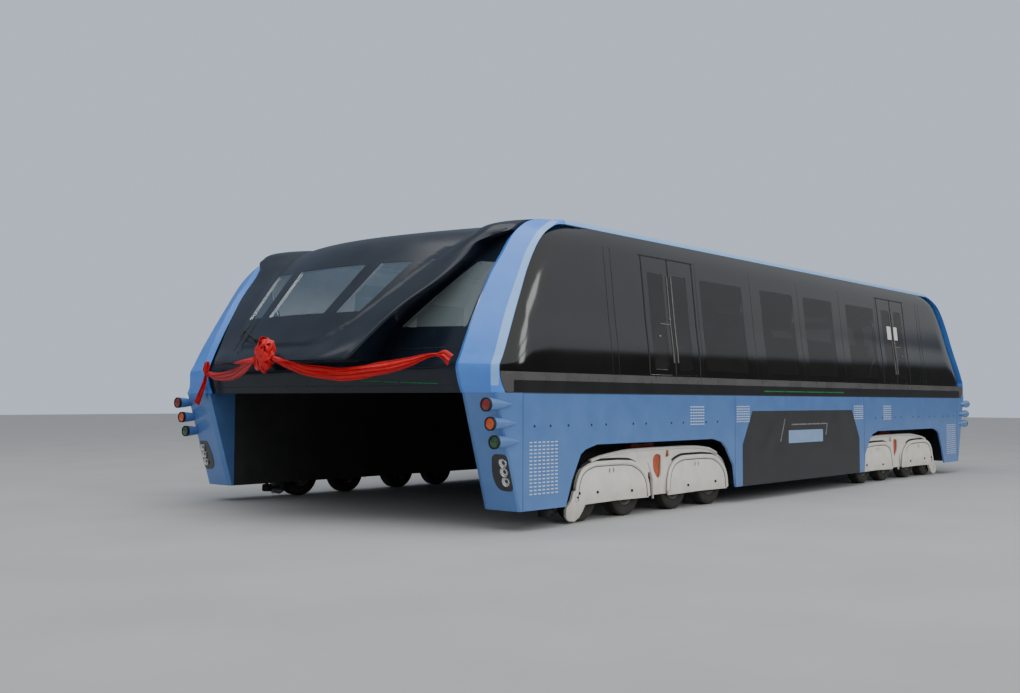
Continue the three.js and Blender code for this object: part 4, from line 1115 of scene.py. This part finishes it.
# y, z and lift of both ends of each part, then its radius at each end and its count of sides
WIPER_PARTS = (
    ((BOSS_Y, 2.86, 0.0), (BOSS_Y, 2.86, 0.05), 0.034, 0.030, 24),
    ((BOSS_Y, 2.86, 0.05), (BOSS_Y, 2.86, 0.064), 0.022, 0.014, 24),
    ((BOSS_Y, 2.86, 0.050), (-1.05, 3.03, 0.042), 0.013, 0.009, 12),
    ((-0.52, 2.83, 0.050), (-1.04, 2.94, 0.042), 0.008, 0.007, 12),
    ((-1.04, 2.93, 0.042), (-1.055, 3.045, 0.042), 0.012, 0.012, 12),
    ((-1.05, 3.03, 0.046), (-1.05, 3.03, 0.018), 0.011, 0.011, 12),
    ((-0.94, 2.71, 0.024), (-1.15, 3.30, 0.024), 0.008, 0.008, 12),
    ((-0.938, 2.705, 0.016), (-1.152, 3.305, 0.016), 0.005, 0.005, 12),
)
rods = [rod(on_screen(*start), on_screen(*finish), *sizes) for start, finish, *sizes in WIPER_PARTS]
wiper = combined(*rods)
for end, s in ENDS:
    piece = add_piece(f"wiper_arms_{end}", wiper, rubber_black, f"wiper_{end}", (s, s))
    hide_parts(f"wiper_{end}")

# Sash: a red satin ribbon, gathered into a full rosette on the front lip and hung in a swag to each
# corner, with a fan at the near end and a knot and a loose tail at the far one. Pleated sheets.
# x, y, z and the gathered width along each run
NEAR_PATH = (
    (10.99, 0.42, 2.55, 0.07), (10.93, 0.59, 2.48, 0.10), (10.86, 0.75, 2.43, 0.14),
    (10.78, 0.93, 2.36, 0.17), (10.67, 1.19, 2.32, 0.20), (10.54, 1.47, 2.30, 0.21),
    (10.31, 2.01, 2.36, 0.20), (10.10, 2.49, 2.47, 0.13), (9.93, 2.90, 2.575, 0.05),
    (9.89, 3.01, 2.57, 0.15), (9.86, 3.12, 2.49, 0.20),
)
FAR_PATH = (
    (10.99, 0.00, 2.55, 0.07), (10.93, -0.21, 2.51, 0.10), (10.86, -0.40, 2.47, 0.13),
    (10.72, -0.78, 2.40, 0.16), (10.53, -1.29, 2.33, 0.17), (10.28, -1.93, 2.31, 0.16),
    (10.07, -2.50, 2.32, 0.14), (9.91, -2.92, 2.37, 0.09), (9.89, -3.05, 2.35, 0.05),
    (9.88, -3.10, 2.24, 0.08), (9.87, -3.16, 2.14, 0.10), (9.86, -3.28, 1.98, 0.10),
    (9.85, -3.39, 1.84, 0.11),
)
EAR_PATH = (
    (9.89, -3.06, 2.34, 0.04), (9.91, -3.03, 2.44, 0.11), (9.91, -3.00, 2.53, 0.12),
    (9.90, -2.98, 2.60, 0.05),
)
LIP_LINE = ((2.53, 11.0), (2.59, 10.95), (2.82, 10.695), (3.34, 10.227))
SASH_FRONT = 11.098


def clear_of_nose(point):
    """A point of the cloth, kept in front of the nose and inside the bus's length."""
    if point.z > 2.49 and abs(point.y) < 1:
        lip = smooth([p[0] for p in LIP_LINE], [p[1] for p in LIP_LINE], max(point.z, 2.53))
        point.x = max(point.x, lip - 0.105 * point.y**2 + 0.006)
    point.x = min(point.x, SASH_FRONT)
    return point


def swag(path, along, across, pleats, depth, seed):
    """A ribbon gathered into lengthwise pleats along a path."""
    knots = run_of([p[:3] for p in path])
    tilt = [random.Random(seed + k).uniform(-1, 1) for k in range(12)]

    def at(t):
        return Vector([smooth(knots, [p[k] for p in path], t) for k in range(3)])

    def place(col, row):
        f, g = row / along, col / across
        t = knots[-1] * f
        run = (at(min(t + 0.02, knots[-1])) - at(max(t - 0.02, 0))).normalized()
        up = Vector((0.25, 0, 1)) - run * run.dot(Vector((0.25, 0, 1)))
        up.normalize()
        out = run.cross(up) if run.cross(up).x > 0 else up.cross(run)
        wide = smooth(knots, [p[3] for p in path], t) * (1 + 0.06 * math.sin(9 * f + tilt[0] * 3))
        loose = min(1, wide / 0.16)
        phase = tilt[1] * 3 + 2.2 * math.sin(3.1 * f + tilt[2]) + 1.1 * math.sin(11 * f + tilt[3])
        fold = math.sin(2 * math.pi * pleats * g + phase)
        fold += 0.45 * math.sin(2 * math.pi * (pleats * 1.7) * g + 5 * f)
        curl = math.cos(math.pi * (g - 0.5))
        offset = (g - 0.5) * wide + 0.010 * loose * math.sin(2 * math.pi * pleats * 2 * g + phase * 2)
        proud = depth * fold * (0.6 + 0.4 * curl) * (0.5 + 0.5 * loose) + 0.035 * curl * loose
        return clear_of_nose(at(t) + up * offset + out * proud)
    return grid(across, along, place)


PETAL_COLS, PETAL_ROWS = 8, 14
GOLDEN_TURN = 2.39996


def petal(centre, radii, away, side, size, wave, shift):
    """One looped petal of ribbon, which leans away from the rosette's middle."""
    long, wide, spread = size
    lift = away.cross(side)

    def place(col, row):
        f, g = row / PETAL_ROWS, col / PETAL_COLS - 0.5
        reach = long * (0.18 + 0.82 * math.sin(math.pi * f) ** 0.8)
        pinch = 0.35 + 0.65 * math.sin(math.pi * f)
        local = side * (2 * g * wide * pinch) + lift * (spread * math.cos(math.pi * f))
        local += lift * 0.016 * math.sin(wave * 2 * math.pi * g + shift + 3 * f)
        ball = Vector((away.x * radii[0], away.y * radii[1], away.z * radii[2])) * reach
        return clear_of_nose(Vector(centre) + ball + local + away * 0.014 * math.sin(wave * 6 * g + shift))
    return grid(PETAL_COLS, PETAL_ROWS, place)


def petal_ball(centre, radii, seed, count):
    """A rosette of looped ribbon petals round a middle."""
    rnd = random.Random(seed)
    parts = []
    for k in range(count):
        z = 1 - 2 * (k + 0.5) / count
        turn = k * GOLDEN_TURN + rnd.uniform(-0.3, 0.3)
        away = Vector((math.sqrt(1 - z * z) * math.cos(turn), math.sqrt(1 - z * z) * math.sin(turn), z))
        # no petal grows into the nose behind
        if away.x < -0.35:
            continue
        lean = Vector((rnd.uniform(-1, 1), rnd.uniform(-1, 1), rnd.uniform(-1, 1)))
        petal_size = rnd.uniform(0.8, 1.0), rnd.uniform(0.10, 0.15), rnd.uniform(0.07, 0.11)
        wave, shift = rnd.uniform(1, 2), rnd.uniform(0, 6)
        parts.append(petal(centre, radii, away, away.cross(lean).normalized(), petal_size, wave, shift))
    return combined(*parts)


cloth = paint("sash_red", (0.56, 0.001, 0.003), (0.72, 0.002, 0.005), 14, 0.38, 0.55, bump=0.2)
feed(shader_of(cloth), {"Sheen Weight": 0.08})
far_swag = swag(FAR_PATH, 170, 40, 3.5, 0.018, 9)
far_ear = swag(EAR_PATH, 30, 24, 2, 0.012, 4)
CLOTH_THICK = 0.0015
# name, cloth, flat width and length
SHEETS = (
    ("sash_near", swag(NEAR_PATH, 150, 40, 3.5, 0.018, 5), (0.40, 3.05)),
    ("sash_far", combined(far_swag, far_ear), (0.38, 4.15)),
    ("sash_rosette", petal_ball((11.0, 0.21, 2.60), (0.08, 0.17, 0.27), 3, 32), (0.25, 6.6)),
)
for name, bm, flat in SHEETS:
    piece = add_piece(name, bm, cloth, sharp=80)
    wall_of = piece.modifiers.new("cloth wall", "SOLIDIFY")
    wall_of.thickness = CLOTH_THICK
    wall_of.offset = 0
    if name == "sash_near":
        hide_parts("red_sash")

# Leg panels, roof, deck, leg structure, benches and driver's desks: welded steel sheet and moulded
# plastic. Their solids in the frame already have the real shape, so they only get their finishes.
roof_dark = paint("roof_dark", (0.020, 0.023, 0.028), (0.030, 0.034, 0.040), 3, 0.3, 0.5)
deck_paint = paint("deck_paint", (0.030, 0.030, 0.030), (0.045, 0.045, 0.045), 3, 0.5, 0.7)
desk_plastic = paint("desk_plastic", (0.034, 0.037, 0.042), (0.042, 0.046, 0.050), 40, 0.5, 0.6, bump=0.03)
SKINS = (
    ("leg_panel", blue), ("roof_skin", roof_dark), ("deck", deck_paint), ("leg_structure", deck_paint),
    ("bench", desk_plastic), ("driver_desk", desk_plastic),
)
for node_name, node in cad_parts.items():
    for start, mat in SKINS:
        if node_name.startswith(start):
            node.data.materials.clear()
            node.data.materials.append(mat)

# Floor: a large slab of pale concrete under the tyres
FLOOR_HALF = 120
floor_mesh = bpy.data.meshes.new("floor")
bm = bmesh.new()
bmesh.ops.create_grid(bm, x_segments=1, y_segments=1, size=FLOOR_HALF)
bm.to_mesh(floor_mesh)
bm.free()
floor = bpy.data.objects.new("floor", floor_mesh)
bpy.context.collection.objects.link(floor)
floor_mesh.materials.append(paint("floor", (0.44, 0.44, 0.435), (0.48, 0.48, 0.475), 0.5, 0.8, 0.9))
floor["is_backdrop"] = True

# Sky: bright over the bus's left side, dim on its right and near the ground, with a pale backdrop
BRIGHT_SIDE = (0.2, 0.75, 0.62)
SKYLINE = (0, -0.19, 1)
BACKDROP = (0.56, 0.64, 0.74, 1)
SKY = (
    (0.0, (0.03, 0.03, 0.03)), (0.36, (0.22, 0.26, 0.32)), (0.58, (0.42, 0.44, 0.46)),
    (0.74, (0.66, 0.71, 0.78)), (1.0, (1.0, 1.0, 1.0)),
)
world = bpy.data.worlds.new("world")
bpy.context.scene.world = world
world.use_nodes = True
sky = world.node_tree
view = add_node(sky, "TexCoord", {}).outputs["Generated"]
sideways = add_node(sky, "VectorMath", {0: view, 1: BRIGHT_SIDE}, operation="DOT_PRODUCT").outputs["Value"]
upwards = add_node(sky, "VectorMath", {0: view, 1: SKYLINE}, operation="DOT_PRODUCT").outputs["Value"]
bright = add_node(sky, "MapRange", {"Value": sideways, "From Min": -1}).outputs["Result"]
clear = add_node(sky, "MapRange", {
    "Value": upwards, "From Min": 0.045, "From Max": 0.065, "To Min": 0.05}).outputs["Result"]
level = add_node(sky, "Math", {0: bright, 1: clear}, operation="MULTIPLY").outputs["Value"]
tones = add_node(sky, "ValToRGB", {"Fac": level})
colour_steps(tones, SKY)
seen = add_node(sky, "LightPath", {}).outputs["Is Camera Ray"]
shown = add_node(sky, "Mix", {"Factor": seen, "A": tones.outputs["Color"], "B": BACKDROP}, data_type="RGBA")
feed(sky.nodes["Background"], {"Color": shown.outputs["Result"]})

# Lamps: name, place, what they face, power, size
LIGHTS = [("overhead", (10, 3, 24), (2, 0, 2), 3400, 26), ("side", (10, 36, 14), (2, 0, 2), 2600, 22)]
LIGHTS += [(f"streak_{k}", (-10 + k, 28.7, 9 + 3 * k), (9, 3.8, 3.2), 90, 2.6) for k in range(3)]
LIGHTS += [(f"ceiling_{x}", (x, 0, 4.28), (x, 0, 2), 160, 1.1) for x in (-8.2, -4, 0, 4, 8.2)]
for light_name, place, faces, power, size in LIGHTS:
    data = bpy.data.lights.new(light_name, "AREA")
    data.energy = power
    data.size = size
    lamp = bpy.data.objects.new(light_name, data)
    aim = Vector(faces) - Vector(place)
    lamp.matrix_world = Matrix.Translation(place) @ aim.to_track_quat("-Z", "Y").to_matrix().to_4x4()
    bpy.context.collection.objects.link(lamp)

size = {"cad": [list(v) for v in cad_box], "visual": [list(v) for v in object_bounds()]}
